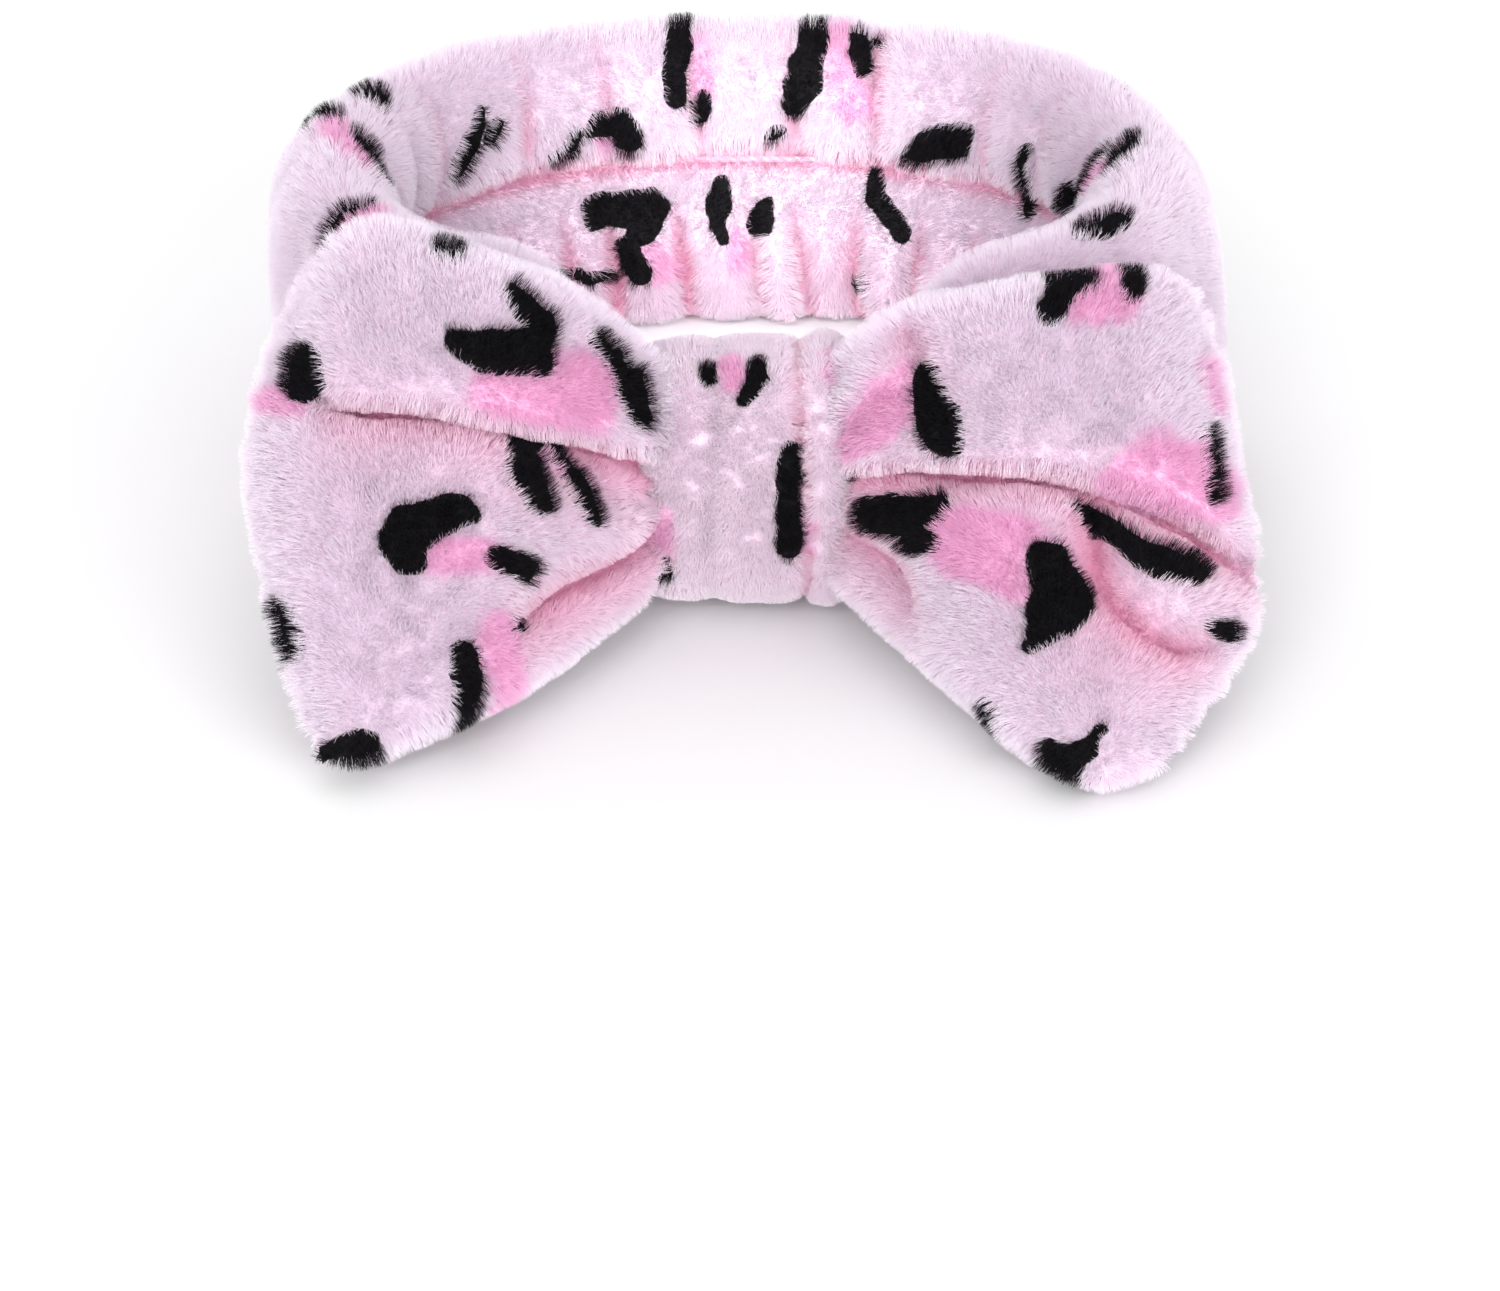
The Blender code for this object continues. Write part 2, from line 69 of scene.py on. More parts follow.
_, REAR_HIGH = node_box("sleeve_rear")
_, RIGHT_HIGH = node_box("sleeve_right")
LEFT_LOW, _ = node_box("sleeve_left")
RIGHT_TACK = sum(node_box("elastic_tack_right")) / 2
KNOT_LOW, KNOT_HIGH = node_box("knot_wrap")
RING_HALF_DEPTH = 0.078          # front to back, half the ring's outside
RING_HALF = np.array([(RIGHT_HIGH[0] - LEFT_LOW[0]) / 2, RING_HALF_DEPTH])
RING_CENTRE = np.array([0.0, REAR_HIGH[1] - RING_HALF[1]])
BAND_HEIGHT = REAR_HIGH[2]
BAND_DEPTH = 0.024
RING_POWER = 2.3                 # 2 is an ellipse, and more is squarer
REAR_RING_POWER = 2.1            # the elastic rear is rounder than the front
PILE_INSET = 0.0014              # the cloth starts this far inside the CAD's outside, for its pile
FLOOR_GAP = 0.0002               # and rests this little above the table


# ---- Small numeric tools ----

def smooth_step(low, high, value):
    """0 below low, 1 above high, and an even turn between them."""
    share = np.clip((value - low) / (high - low), 0, 1)
    return share * share * (3 - 2 * share)


def curve_point(at, k, t):
    """Where a smooth curve is at share t of its span from point k to the next; at gives points."""
    p0, p1, p2, p3 = at(k - 1), at(k), at(k + 1), at(k + 2)
    slope1, slope2 = (p2 - p0) / 2, (p3 - p1) / 2
    return (
        p1 * (2 * t**3 - 3 * t**2 + 1) + slope1 * (t**3 - 2 * t**2 + t)
        + p2 * (3 * t**2 - 2 * t**3) + slope2 * (t**3 - t**2)
    )


def catmull(points, share, closed=False):
    """A smooth curve through evenly spaced points, at shares of its length."""
    points = np.asarray(points, float)
    count = len(points)
    share = np.asarray(share, float)
    spans = count if closed else count - 1
    place = (share % 1.0 if closed else np.clip(share, 0, 1)) * spans
    k = np.minimum(place.astype(int), spans - 1)
    t = (place - k)[..., None]

    def at(index):
        if closed:
            return points[index % count]
        inside = points[np.clip(index, 0, count - 1)]
        before = 2 * points[0] - points[1]
        after = 2 * points[-1] - points[-2]
        inside = np.where((index < 0)[..., None], before, inside)
        return np.where((index >= count)[..., None], after, inside)

    return curve_point(at, k, t)


def noise(points, size, seed):
    """Smooth noise from -1 to 1 over points, with features of about a size in metres."""
    side = 32
    lattice = np.random.default_rng(seed).random((side, side, side)) * 2 - 1
    place = np.asarray(points, float) / size + 1000.0
    cell = np.floor(place).astype(int)
    part = place - cell
    part = part * part * (3 - 2 * part)
    total = 0
    for step in np.ndindex(2, 2, 2):
        weight = np.prod(np.where(step, part, 1 - part), axis=-1)
        corner = (cell + step) % side
        total = total + weight * lattice[corner[..., 0], corner[..., 1], corner[..., 2]]
    return total


def segment_distance(points, start, end):
    """The distance from each point to one straight segment, and the share along it."""
    along = end - start
    length = max(float(along @ along), 1e-12)
    share = np.clip((points - start) @ along / length, 0, 1)
    return np.linalg.norm(points - (start + share[..., None] * along), axis=-1), share


def chain_distance(points, chain):
    """The distance from each point to a chain of segments."""
    best = np.full(points.shape[:-1], 9.0)
    for start, end in zip(chain, chain[1:]):
        best = np.minimum(best, segment_distance(points, start, end)[0])
    return best


def grid_normals(grid, closed_rows, closed_columns):
    """Unit normals of a grid of points, from its neighbours along both directions."""
    def slope(axis, closed):
        if closed:
            return np.roll(grid, -1, axis) - np.roll(grid, 1, axis)
        return np.gradient(grid, axis=axis)

    normal = np.cross(slope(0, closed_rows), slope(1, closed_columns))
    return normal / np.maximum(np.linalg.norm(normal, axis=-1, keepdims=True), 1e-12)


def grid_faces(rows, columns, closed_rows):
    """Quads of a grid whose columns close on themselves, and whose rows may."""
    index = np.arange(rows * columns).reshape(rows, columns)
    after = np.roll(index, -1, axis=1)
    above, above_after = np.roll(index, -1, axis=0), np.roll(after, -1, axis=0)
    faces = np.stack([index, after, above_after, above], axis=-1)
    return (faces if closed_rows else faces[:-1]).reshape(-1, 4)


def new_object(name, data):
    """An object in the scene that holds a mesh, a camera or a light."""
    obj = bpy.data.objects.new(name, data)
    bpy.context.scene.collection.objects.link(obj)
    return obj


def make_object(name, points, faces, masks=None, closed_rings=()):
    """A smooth-shaded mesh object from arrays, its faces pointing out, with its print's masks.

    closed_rings are rings of vertices, symmetric end to end, that are closed by strips of faces.
    """
    mesh = bpy.data.meshes.new(name)
    mesh.from_pydata(points.reshape(-1, 3).tolist(), [], faces.tolist())
    bm = bmesh.new()
    bm.from_mesh(mesh)
    bm.verts.ensure_lookup_table()
    for ring in closed_rings:
        count = len(ring)
        for k in range(count // 2 - 1):
            bm.faces.new([bm.verts[ring[j]] for j in (k, k + 1, count - 2 - k, count - 1 - k)])
    bmesh.ops.recalc_face_normals(bm, faces=bm.faces)
    bm.to_mesh(mesh)
    bm.free()
    mesh.shade_smooth()
    obj = new_object(name, mesh)
    if masks is not None:
        paint(obj, *(mask.ravel() for mask in masks))
    return obj


def closed_tube(name, grid, masks=None):
    """A mesh object from a grid whose columns close on themselves, with both ends closed."""
    rows, columns = grid.shape[:2]
    index = np.arange(rows * columns).reshape(rows, columns)
    faces = grid_faces(rows, columns, closed_rows=False)
    return make_object(name, grid, faces, masks, (index[0], index[-1]))


# ---- The sleeve ----

RING_SAMPLES = 4096
RIGHT_SIDE_SHARE = 0.960       # the relaxed ring lies a little flatter on its right side


def ring_line():
    """The ring's middle line from the front towards +X: points, and how far each is along it."""
    half = RING_HALF - BAND_DEPTH / 2
    angle = np.linspace(0, 2 * math.pi, RING_SAMPLES)
    side, back = np.sin(angle), -np.cos(angle)
    power = np.where(back > 0, REAR_RING_POWER, RING_POWER)
    points = np.stack([
        half[0] * np.sign(side) * np.abs(side) ** (2 / power),
        half[1] * np.sign(back) * np.abs(back) ** (2 / power),
    ], axis=-1)
    points[:, 0] *= np.where(points[:, 0] > 0, RIGHT_SIDE_SHARE, 1)
    points += RING_CENTRE
    lengths = np.concatenate([[0], np.cumsum(np.linalg.norm(np.diff(points, axis=0), axis=1))])
    return points, lengths


RING_POINTS, RING_LENGTHS = ring_line()
RING_LENGTH = RING_LENGTHS[-1]


def ring_place(distance):
    """Points on the ring's middle line and the level directions outwards, at distances."""
    def at(d):
        d = np.mod(d, RING_LENGTH)
        return np.stack([np.interp(d, RING_LENGTHS, RING_POINTS[:, k]) for k in (0, 1)], axis=-1)

    step = 0.0015
    along = at(distance + step) - at(distance - step)
    along /= np.linalg.norm(along, axis=-1, keepdims=True)
    return at(distance), np.stack([along[..., 1], -along[..., 0]], axis=-1)


# The puffed tube's section in millimetres: outwards from the middle line, and height. It starts at
# the outer side's middle and goes up and over the top, down the head side and under the bottom.
SLEEVE_SECTION = (
    (12.0, 35), (11.9, 45), (11.2, 54.5), (8.6, 63.0), (3.8, 69.0), (-2.4, 70.4), (-8.4, 66.8),
    (-12.2, 59.5), (-12.6, 51.5), (-10.4, 44.6), (-6.4, 40.8), (-7.2, 36.8), (-7.8, 32), (-9.4, 27),
    (-11.4, 20), (-11.8, 12), (-9.0, 4.6), (-3.6, 0.8), (2.8, 0.2), (8.0, 3.6), (10.8, 11),
    (11.8, 22.5),
)
SEAM_Z = 0.0406
SEAM_TURN = 0.462
ROLL_EDGE_TURN = 0.415         # the lowest of the roll that hangs over the seam

# The gathers, in metres: how deep the pleats are cut below and above the seam on the head side and
# on the outer side, and how the roll's crown and lower edge rise and fall with them.
LOW_PLEAT, HIGH_PLEAT, OUTER_PLEAT = 0.0066, 0.0044, 0.0030
CROWN_RISE, EDGE_WAVE, OUTER_WAIST = 0.0026, 0.0042, 0.0022
MAIN_GATHER = 0.2115           # where along the ring one gather runs over the whole roll
TACK_ROOM = 0.0036             # how far the outer side stands clear of the elastic's right end
PINCHED_DEPTH, PINCHED_HEIGHT = 0.34, 0.52     # the tube's shares under the knot


def pleats(distance, spacing, seed):
    """Uneven gathers along the band: rounded ridges with narrow valleys, 0 to 1."""
    rng = np.random.default_rng(seed)
    count = int(RING_LENGTH / spacing)
    edges = (np.arange(count) + rng.uniform(-0.30, 0.30, count)) * RING_LENGTH / count
    heights = rng.uniform(0.45, 1.0, count + 1)
    d = np.mod(distance, RING_LENGTH)
    k = np.searchsorted(edges, d) % count
    start, end = edges[k - 1], edges[k]
    width = np.mod(end - start, RING_LENGTH)
    share = np.mod(d - start, RING_LENGTH) / np.maximum(width, 1e-6)
    return np.sqrt(np.clip(np.sin(np.pi * np.clip(share, 0, 1)), 0, 1)) * heights[k]


def sleeve_surface(distance, turn):
    """The sleeve's points at distances along the ring and shares of a turn, and a mask of how deep they
    fold, for painted crease shade.
    """
    section = catmull(np.array(SLEEVE_SECTION), turn, closed=True) * MM
    across, height = section[..., 0], section[..., 1]
    place, outwards = ring_place(distance)
    along = np.mod(distance, RING_LENGTH)
    from_front = np.minimum(along, RING_LENGTH - along)
    inner = smooth_step(0.002, -0.006, across)
    outer = smooth_step(-0.002, 0.006, across)

    # The elastic gathers the rear most, and the sides a little.
    gathered = 0.25 + 0.75 * smooth_step(0.085, 0.160, from_front)
    lean = 0.006 * np.sin(distance / 0.031) * (SEAM_Z - height) / SEAM_Z
    ridge = pleats(distance + lean, 0.0150, seed=3)
    low_part = smooth_step(SEAM_Z - 0.006, 0.012, height)
    across = across - inner * low_part * gathered * (ridge - 0.55) * LOW_PLEAT
    high_ridge = pleats(distance + lean, 0.0230, seed=8)
    main_gather = np.exp(-(((along - MAIN_GATHER) / 0.008) ** 2))
    high_part = smooth_step(SEAM_Z, SEAM_Z + 0.012, height)
    high_part = high_part * np.maximum(0.2 + 0.8 * smooth_step(0.26, 0.38, turn), main_gather)
    across = across - inner * high_part * gathered * (high_ridge - 0.6) * HIGH_PLEAT
    height = height + high_part * gathered * (high_ridge - 0.6) * CROWN_RISE
    roll_edge = np.exp(-(((turn - ROLL_EDGE_TURN) / 0.03) ** 2))
    height = height - roll_edge * gathered * (high_ridge - 0.5) * EDGE_WAVE
    back_ridge = pleats(distance - lean, 0.0190, seed=12)
    waist = np.exp(-(((height - 0.035) / 0.010) ** 2))
    drawn_in = (back_ridge - 0.6) * OUTER_PLEAT - waist * OUTER_WAIST * gathered
    across = across + outer * gathered * drawn_in

    # The outer side stands clear of the patch that holds the elastic's right end.
    apart = np.linalg.norm(place - RIGHT_TACK[:2], axis=-1)
    level = np.exp(-(((height - RIGHT_TACK[2]) / 0.016) ** 2))
    across = across + outer * level * TACK_ROOM * smooth_step(0.024, 0.011, apart)

    # Under the knot the tube is pinched flat.
    full = smooth_step(0.018, 0.052, from_front)
    across = across * (PINCHED_DEPTH + (1 - PINCHED_DEPTH) * full)
    middle = BAND_HEIGHT / 2
    height = middle + (height - middle) * (PINCHED_HEIGHT + (1 - PINCHED_HEIGHT) * full)

    flat = place + outwards * across[..., None]
    # Painted shade: a mask from 0 to 1 that turns the seam's crease and the pleats' valleys on the head
    # side a deeper pink, where shade falls in them.
    crease = np.exp(-(((turn - SEAM_TURN) / 0.030) ** 2))
    low_valley = 1.3 * inner * low_part * gathered * smooth_step(0.55, 0.05, ridge)
    high_valley = 0.7 * inner * high_part * gathered * smooth_step(0.40, 0.05, high_ridge)
    # Painted reflection: a faint pink tint over the lower head side, for the light the fleece bounces
    # onto itself.
    painted_bounce_tint = 0.10 * inner * low_part * gathered
    depth = np.clip(0.8 * crease * inner + low_valley + high_valley + painted_bounce_tint, 0, 1)
    return np.concatenate([flat, height[..., None]], axis=-1), depth


def pile_relief(points, seed):
    """How far the pile's clumps stand out at each point."""
    tufts = noise(points, 0.0022, seed) * 0.00030 + noise(points, 0.0055, seed + 1) * 0.00028
    return tufts + noise(points, 0.022, seed + 2) * 0.0009


def sleeve_grid():
    """The sleeve's grid of surface points, with its normals pointing out of the tube."""
    rows, columns = 600, 164
    distance = np.arange(rows)[:, None] * RING_LENGTH / rows + np.zeros((1, columns))
    turn = np.arange(columns)[None, :] / columns + np.zeros((rows, 1))
    grid, depth = sleeve_surface(distance, turn)
    normals = grid_normals(grid, True, True)
    place, _ = ring_place(distance)
    middle = np.concatenate([place, np.full(place.shape[:-1] + (1,), BAND_HEIGHT / 2)], axis=-1)
    if np.sum((grid - middle) * normals) < 0:
        normals = -normals
    return grid, normals, depth


# ---- The bow's wings ----

# Rows from the knot to the outer edge, five points each from the lower rim to the upper one, in
# millimetres from the middle of the ring. The lower rims come forward over the table.
LEFT_WING = (
    ((-13, -76.8, 13), (-13, -76.8, 23), (-13, -76.8, 32), (-13, -76.8, 42), (-13, -76.8, 52)),
    ((-29, -98, 9), (-30, -90, 22), (-30, -84, 38), (-30, -80, 53), (-29, -76, 68)),
    ((-50, -127, 9), (-53, -108, 26), (-53, -93, 45), (-53, -84, 62), (-49, -75, 77.5)),
    ((-70, -141, 7), (-75.5, -113, 26), (-76, -93, 46), (-76, -79, 65), (-71, -67, 81.5)),
    ((-81, -143, 5), (-92.5, -110, 27), (-96, -92, 46), (-91, -79, 64), (-81, -67, 79)),
)
RIGHT_WING = (
    ((13, -76.8, 13), (13, -76.8, 23), (13, -76.8, 32), (13, -76.8, 42), (13, -76.8, 52)),
    ((28, -98, 9), (30, -90, 22), (30, -84, 37), (30, -80, 52), (29, -77, 67)),
    ((45, -129, 8), (52, -110, 24), (53, -94, 40), (52, -84, 56), (48, -77, 72)),
    ((64, -148, 5), (75, -116, 23), (76, -94, 42), (75, -80, 57), (71, -71, 73)),
    ((78, -142, 5), (97.5, -110, 20), (93.5, -93, 41), (91, -80, 57), (84, -70, 73)),
)
# Half of a wing's thickness in millimetres, at shares along it.
WING_THICKNESS = (
    (0.0, 5.5), (0.12, 8.5), (0.25, 12.0), (0.5, 16.0), (0.75, 15.0), (0.9, 12.5), (1.0, 10.0),
)

# Folds of each wing's front: points as (along, height) shares, depth and width in millimetres, and
# how far the cloth above hangs over the fold.
LEAST_FRONT = 0.30             # a fold's bottom stays this share of the half thickness in front
FRONT_FILL, BACK_FILL = 0.05, 0.40     # how far the wadding fills each side of the wing
WADDING_REACH = 0.86                   # the wadding's share of the wing's height
WADDING_ROWS = slice(8, -9)            # its rows of points that lie clear of the wing's two ends
UPPER_SHADE, LOWER_SHADE = 3.0, 6.5    # how far the painted crease shade reaches above and below a fold, in millimetres
LEFT_FOLDS = (
    (((0.05, 0.17), (0.35, 0.17), (0.58, 0.19), (0.80, 0.14)), 12.0, 5.0, 6.5),
    (((0.05, -0.45), (0.20, -0.54), (0.36, -0.63), (0.48, -0.76)), 7.0, 5.0, 2.0),
    (((0.30, -0.02), (0.48, -0.12)), 3.0, 6.0, 0.0),
)
RIGHT_FOLDS = (
    (((0.05, 0.15), (0.30, 0.08), (0.55, 0.0), (0.72, -0.12), (0.97, -0.36)), 12.0, 5.0, 6.5),
    (((0.64, -0.20), (0.665, -0.46), (0.72, -0.57), (0.80, -0.635), (0.92, -0.66)), 7.0, 5.5, 1.5),
    (((0.05, -0.40), (0.20, -0.47), (0.31, -0.58), (0.36, -0.74)), 5.0, 5.0, 1.0),
    (((0.28, 0.92), (0.315, 0.78), (0.34, 0.66)), 4.0, 5.0, 0.0),
)


def wing_rows(net):
    """A wing's rows in world metres."""
    rows = np.array(net, float) * MM
    rows[..., :2] += RING_CENTRE
    return rows


def wing_middle(rows, along, height):
    """The wing's middle surface at shares along it and heights from -1 to 1."""
    along, height = np.broadcast_arrays(along, height)
    columns = np.stack([catmull(row, (height + 1) / 2) for row in rows])
    count = len(rows)
    place = np.clip(along, 0, 1) * (count - 1)
    k = np.minimum(place.astype(int), count - 2)
    t = (place - k)[..., None]

    def at(index):
        inside = np.take_along_axis(columns, np.clip(index, 0, count - 1)[None, ..., None], axis=0)[0]
        before = 2 * columns[0] - columns[1]
        after = 2 * columns[-1] - columns[-2]
        inside = np.where((index < 0)[..., None], before, inside)
        return np.where((index >= count)[..., None], after, inside)

    return curve_point(at, k, t)


def wing_directions(rows, along, height):
    """Unit directions at the middle surface: across towards the front, and up the wing."""
    step = 0.01
    up = wing_middle(rows, along, height + step) - wing_middle(rows, along, height - step)
    out = wing_middle(rows, along + step, height) - wing_middle(rows, along - step, height)
    across = np.cross(up, out)
    across *= -np.sign(across[..., 1:2])
    level = np.array([0.0, -1.0, 0.0])
    keep = smooth_step(0.0, 0.25, along)[..., None]
    across = level * (1 - keep) + keep * across / np.linalg.norm(across, axis=-1, keepdims=True)
    across /= np.linalg.norm(across, axis=-1, keepdims=True)
    return across, up / np.linalg.norm(up, axis=-1, keepdims=True)


def wing_half_thickness(along):
    """Half of the wing's thickness, rounded off at the outer edge."""
    knots = np.array(WING_THICKNESS)
    full = np.interp(along, knots[:, 0], knots[:, 1]) * MM
    past = np.clip((along - 0.72) / 0.28, 0, 1)
    return np.maximum(full * np.sqrt(np.clip(1 - past**2.4, 0, 1)), 0.0008)


def wing_grid(net, folds, seed, stations=130, columns=340, reach=1.0):
    """A wing's grid: points with folds, normals, middle surface, side, a mask of painted fold shade and
    room.

    Room is 1 where the wing is thick enough for the pile's inset and relief, and less at its edge.
    """
    rows = wing_rows(net)
    share = np.linspace(0, 1, stations)
    along = 1 - (1 - share) ** 1.35
    angle = (np.arange(columns) + 0.5) * 2 * math.pi / columns
    along, angle = np.meshgrid(along, angle, indexing="ij")
    height = -np.cos(angle) * reach
    side = np.sin(angle)
    middle = wing_middle(rows, along, height)
    across, up = wing_directions(rows, along, height)
    half = wing_half_thickness(along)
    profile = np.sign(side) * np.abs(side) ** 0.85
    front = smooth_step(0.05, 0.55, side)

    offset = half * profile
    lift = np.zeros_like(offset)
    crease_shade = np.zeros_like(offset)
    for points, depth, width, overhang in folds:
        shares = np.array(points)
        fine = catmull(shares, np.linspace(0, 1, 24))
        chain = wing_middle(rows, fine[:, 0], fine[:, 1])
        distance = chain_distance(middle, chain)
        line = np.interp(along, fine[:, 0], fine[:, 1])
        signed = distance * np.clip((height - line) / 0.05, -1, 1)
        fade = smooth_step(shares[-1, 0] + 0.12, shares[-1, 0] - 0.10, along)
        fade = fade * smooth_step(shares[0, 0] - 0.20, shares[0, 0] + 0.02, along)
        offset = offset - front * fade * depth * MM * np.exp(-distance / (width * MM))
        # Painted shade: the pink that darkens the cloth round each fold, reaching further below the fold
        # than above it.
        shade = np.where(signed < 0, LOWER_SHADE, UPPER_SHADE) * MM
        crease_shade = np.maximum(crease_shade, front * fade * min(depth / 8, 1) * np.exp(-distance / shade))
        bulge = np.exp(-((signed - 0.009) / 0.008) ** 2)
        offset = offset + front * fade * overhang * 0.35 * MM * bulge
        lift = lift - front * fade * overhang * MM * bulge

    least = half * LEAST_FRONT * smooth_step(0.0, 0.3, side)
    offset = np.where(side > 0, np.maximum(offset, least), offset)
    gather = smooth_step(0.50, 0.05, along) * smooth_step(0.0, 0.06, along)
    ridges = np.sin(height * 11 + 1.3 * np.sin(height * 5 + seed)) + 0.5 * np.sin(height * 23 + seed)
    offset = offset + np.sign(side) * np.abs(side) * gather * ridges * 0.0011
    grid = middle + across * offset[..., None] + up * lift[..., None]
    normals = grid_normals(grid, False, True)
    if np.sum((grid - middle) * normals) < 0:
        normals = -normals
    return grid, normals, middle, side, crease_shade, np.clip(half / 0.004, 0, 1)


# ---- The knot ----

KNOT_SQUARENESS = 2.9
KNOT_SAG = 0.0014              # how far the soft wrap sits below the CAD solid's top
KNOT_DROP = 0.0030             # and how far it hangs below its bottom
KNOT_CLOTH = 0.0022            # the wrapped cloth's thickness
KNOT_CROWN = 0.0022            # how much lower its two edges lie than its middle


def knot_surface(width, turn):
    """The knot's outside, the directions out of it and its fold: width -1 to 1, turn in radians."""
    middle = (KNOT_LOW + KNOT_HIGH) / 2
    half = (KNOT_HIGH - KNOT_LOW) / 2
    power = 2 / KNOT_SQUARENESS
    y = np.sign(np.cos(turn)) * np.abs(np.cos(turn)) ** power * half[1]
    z = np.sign(np.sin(turn)) * np.abs(np.sin(turn)) ** power * half[2]
    normal = np.stack([np.zeros_like(y), np.cos(turn), np.sin(turn)], axis=-1)
    crown = -KNOT_CROWN * np.abs(width) ** 3
    wave = 0.05 * np.sin(2 * turn + 0.6)
    right_fold = np.exp(-(((width - 0.50 - wave) / 0.07) ** 2))
    left_fold = np.exp(-(((width + 0.34 + wave) / 0.14) ** 2))
    right_ridge = np.exp(-(((width - 0.74 - wave / 2) / 0.15) ** 2))
    relief = crown - 0.0024 * right_fold - 0.0010 * left_fold + 0.0018 * right_ridge
    spread = 1 + 0.05 * np.clip(-np.sin(turn), 0, 1)
    points = np.stack([width * half[0] * spread + middle[0], y + middle[1], z + middle[2]], axis=-1)
    points = points + normal * relief[..., None]
    points[..., 2] -= KNOT_SAG * np.clip(np.sin(turn), 0, 1)
    points[..., 2] -= KNOT_DROP * np.clip(-np.sin(turn), 0, 1)
    return points, normal, right_fold


def knot_object():
    """The knot as a closed loop of cloth with its own thickness."""
    rows, columns = 200, 76
    turn = np.arange(rows) / rows * 2 * math.pi
    turn, width = np.meshgrid(turn, np.linspace(-1, 1, columns), indexing="ij")
    outer, normal, fold = knot_surface(width, turn)

    def place_of(wide, degrees):
        return knot_surface(wide, np.radians(degrees))[0]

    black = brush(outer, stroke_chains(KNOT_BLACK, place_of, INK_SPREAD), 0.0010, 0.0007, 61)
    pink = brush(outer, stroke_chains(KNOT_PINK, place_of), 0.0014, 0.0012, 62)
    outer = outer + normal * (0.4 * pile_relief(outer, 63)[..., None] - PILE_INSET)
    inner = outer - normal * KNOT_CLOTH
    edge = outer - normal * KNOT_CLOTH / 2
    bulge = np.array([0.0012, 0, 0])
    left, right = edge[:, :1] - bulge, edge[:, -1:] + bulge
    loop = np.concatenate([outer, right, inner[:, ::-1], left], axis=1)

    def over_loop(mask):
        return np.concatenate([mask, mask[:, -1:], mask[:, ::-1], mask[:, :1]], axis=1)

    # The third mask paints shade into the knot's right fold, from the fold's own mask.
    masks = [over_loop(mask) for mask in (black, pink, 0.8 * fold)]
    knot = make_object("knot", loop, grid_faces(*loop.shape[:2], closed_rows=True), masks)
    outside = np.zeros(loop.shape[:2])
    outside[:, :columns] = 1
    return knot, outside


# ---- Camera, light and floor ----

CAMERA_ELEVATION = math.radians(30)
CAMERA_DISTANCE = 1.0
CAMERA_LENS = 110.4
CAMERA_AIM = (0.0, -0.020, -0.040)     # from the ring's centre, on the table

# The studio's lights: name, place, size in metres and watts.
LIGHTS = (
    ("key", (-0.7, -2.2, 1.5), 1.2, 18),
    ("fill", (1.2, -2.0, 0.7), 1.6, 22),
    ("low", (-0.2, -2.4, 0.35), 1.6, 26),
    ("top", (0.0, 0.4, 2.6), 1.6, 3),
    ("rear", (-0.4, 2.4, 0.4), 1.6, 24),
)


def add_camera():
    """The camera, in front of the bow and above it, with the headband high in the frame."""
    look = Vector((0, RING_CENTRE[1], 0)) + Vector(CAMERA_AIM)
    forwards = Vector((0, math.cos(CAMERA_ELEVATION), -math.sin(CAMERA_ELEVATION)))
    data = bpy.data.cameras.new("camera")
    data.lens = CAMERA_LENS
    data.sensor_width = 36
    data.clip_start = 0.01
    camera = new_object("camera", data)
    camera.location = look - forwards * CAMERA_DISTANCE
    camera.rotation_euler = forwards.to_track_quat("-Z", "Y").to_euler()
    bpy.context.scene.camera = camera


def add_light(name, place, size, power, target=(0, 0, 0.03), spread=180):
    """A square area light that looks at a target, and that no camera sees."""
    data = bpy.data.lights.new(name, "AREA")
    data.energy = power
    data.size = size
    data.spread = math.radians(spread)
    light = new_object(name, data)
    light.location = place
    light.visible_camera = False
    direction = Vector(target) - Vector(place)
    light.rotation_euler = direction.to_track_quat("-Z", "Y").to_euler()


def add_stage():
    """A pale floor, a pale world, soft lights all round and a small one inside the ring."""
    mesh = bpy.data.meshes.new("floor")
    reach = 6.0
    mesh.from_pydata([(-reach, -reach, 0), (reach, -reach, 0), (reach, reach, 0), (-reach, reach, 0)],
                     [], [(0, 1, 2, 3)])
    floor = new_object("floor", mesh)
    material, _, shader = new_material("floor_white", 0.9, 0.5)
    shader.inputs["Base Color"].default_value = (0.93, 0.93, 0.935, 1)
    mesh.materials.append(material)
    world = bpy.data.worlds.new("studio")
    world.use_nodes = True
    background = world.node_tree.nodes["Background"]
    background.inputs["Color"].default_value = (1, 1, 1, 1)
    background.inputs["Strength"].default_value = 0.80
    bpy.context.scene.world = world
    for name, place, size, power in LIGHTS:
        add_light(name, place, size, power)
    centre = float(RING_CENTRE[1])
    add_light("inside", (0, centre - 0.035, 0.068), 0.04, 0.034,
              target=(0, centre + 0.065, 0.015), spread=95)
    bpy.context.scene.view_settings.view_transform = "Standard"


# ---- Print ----

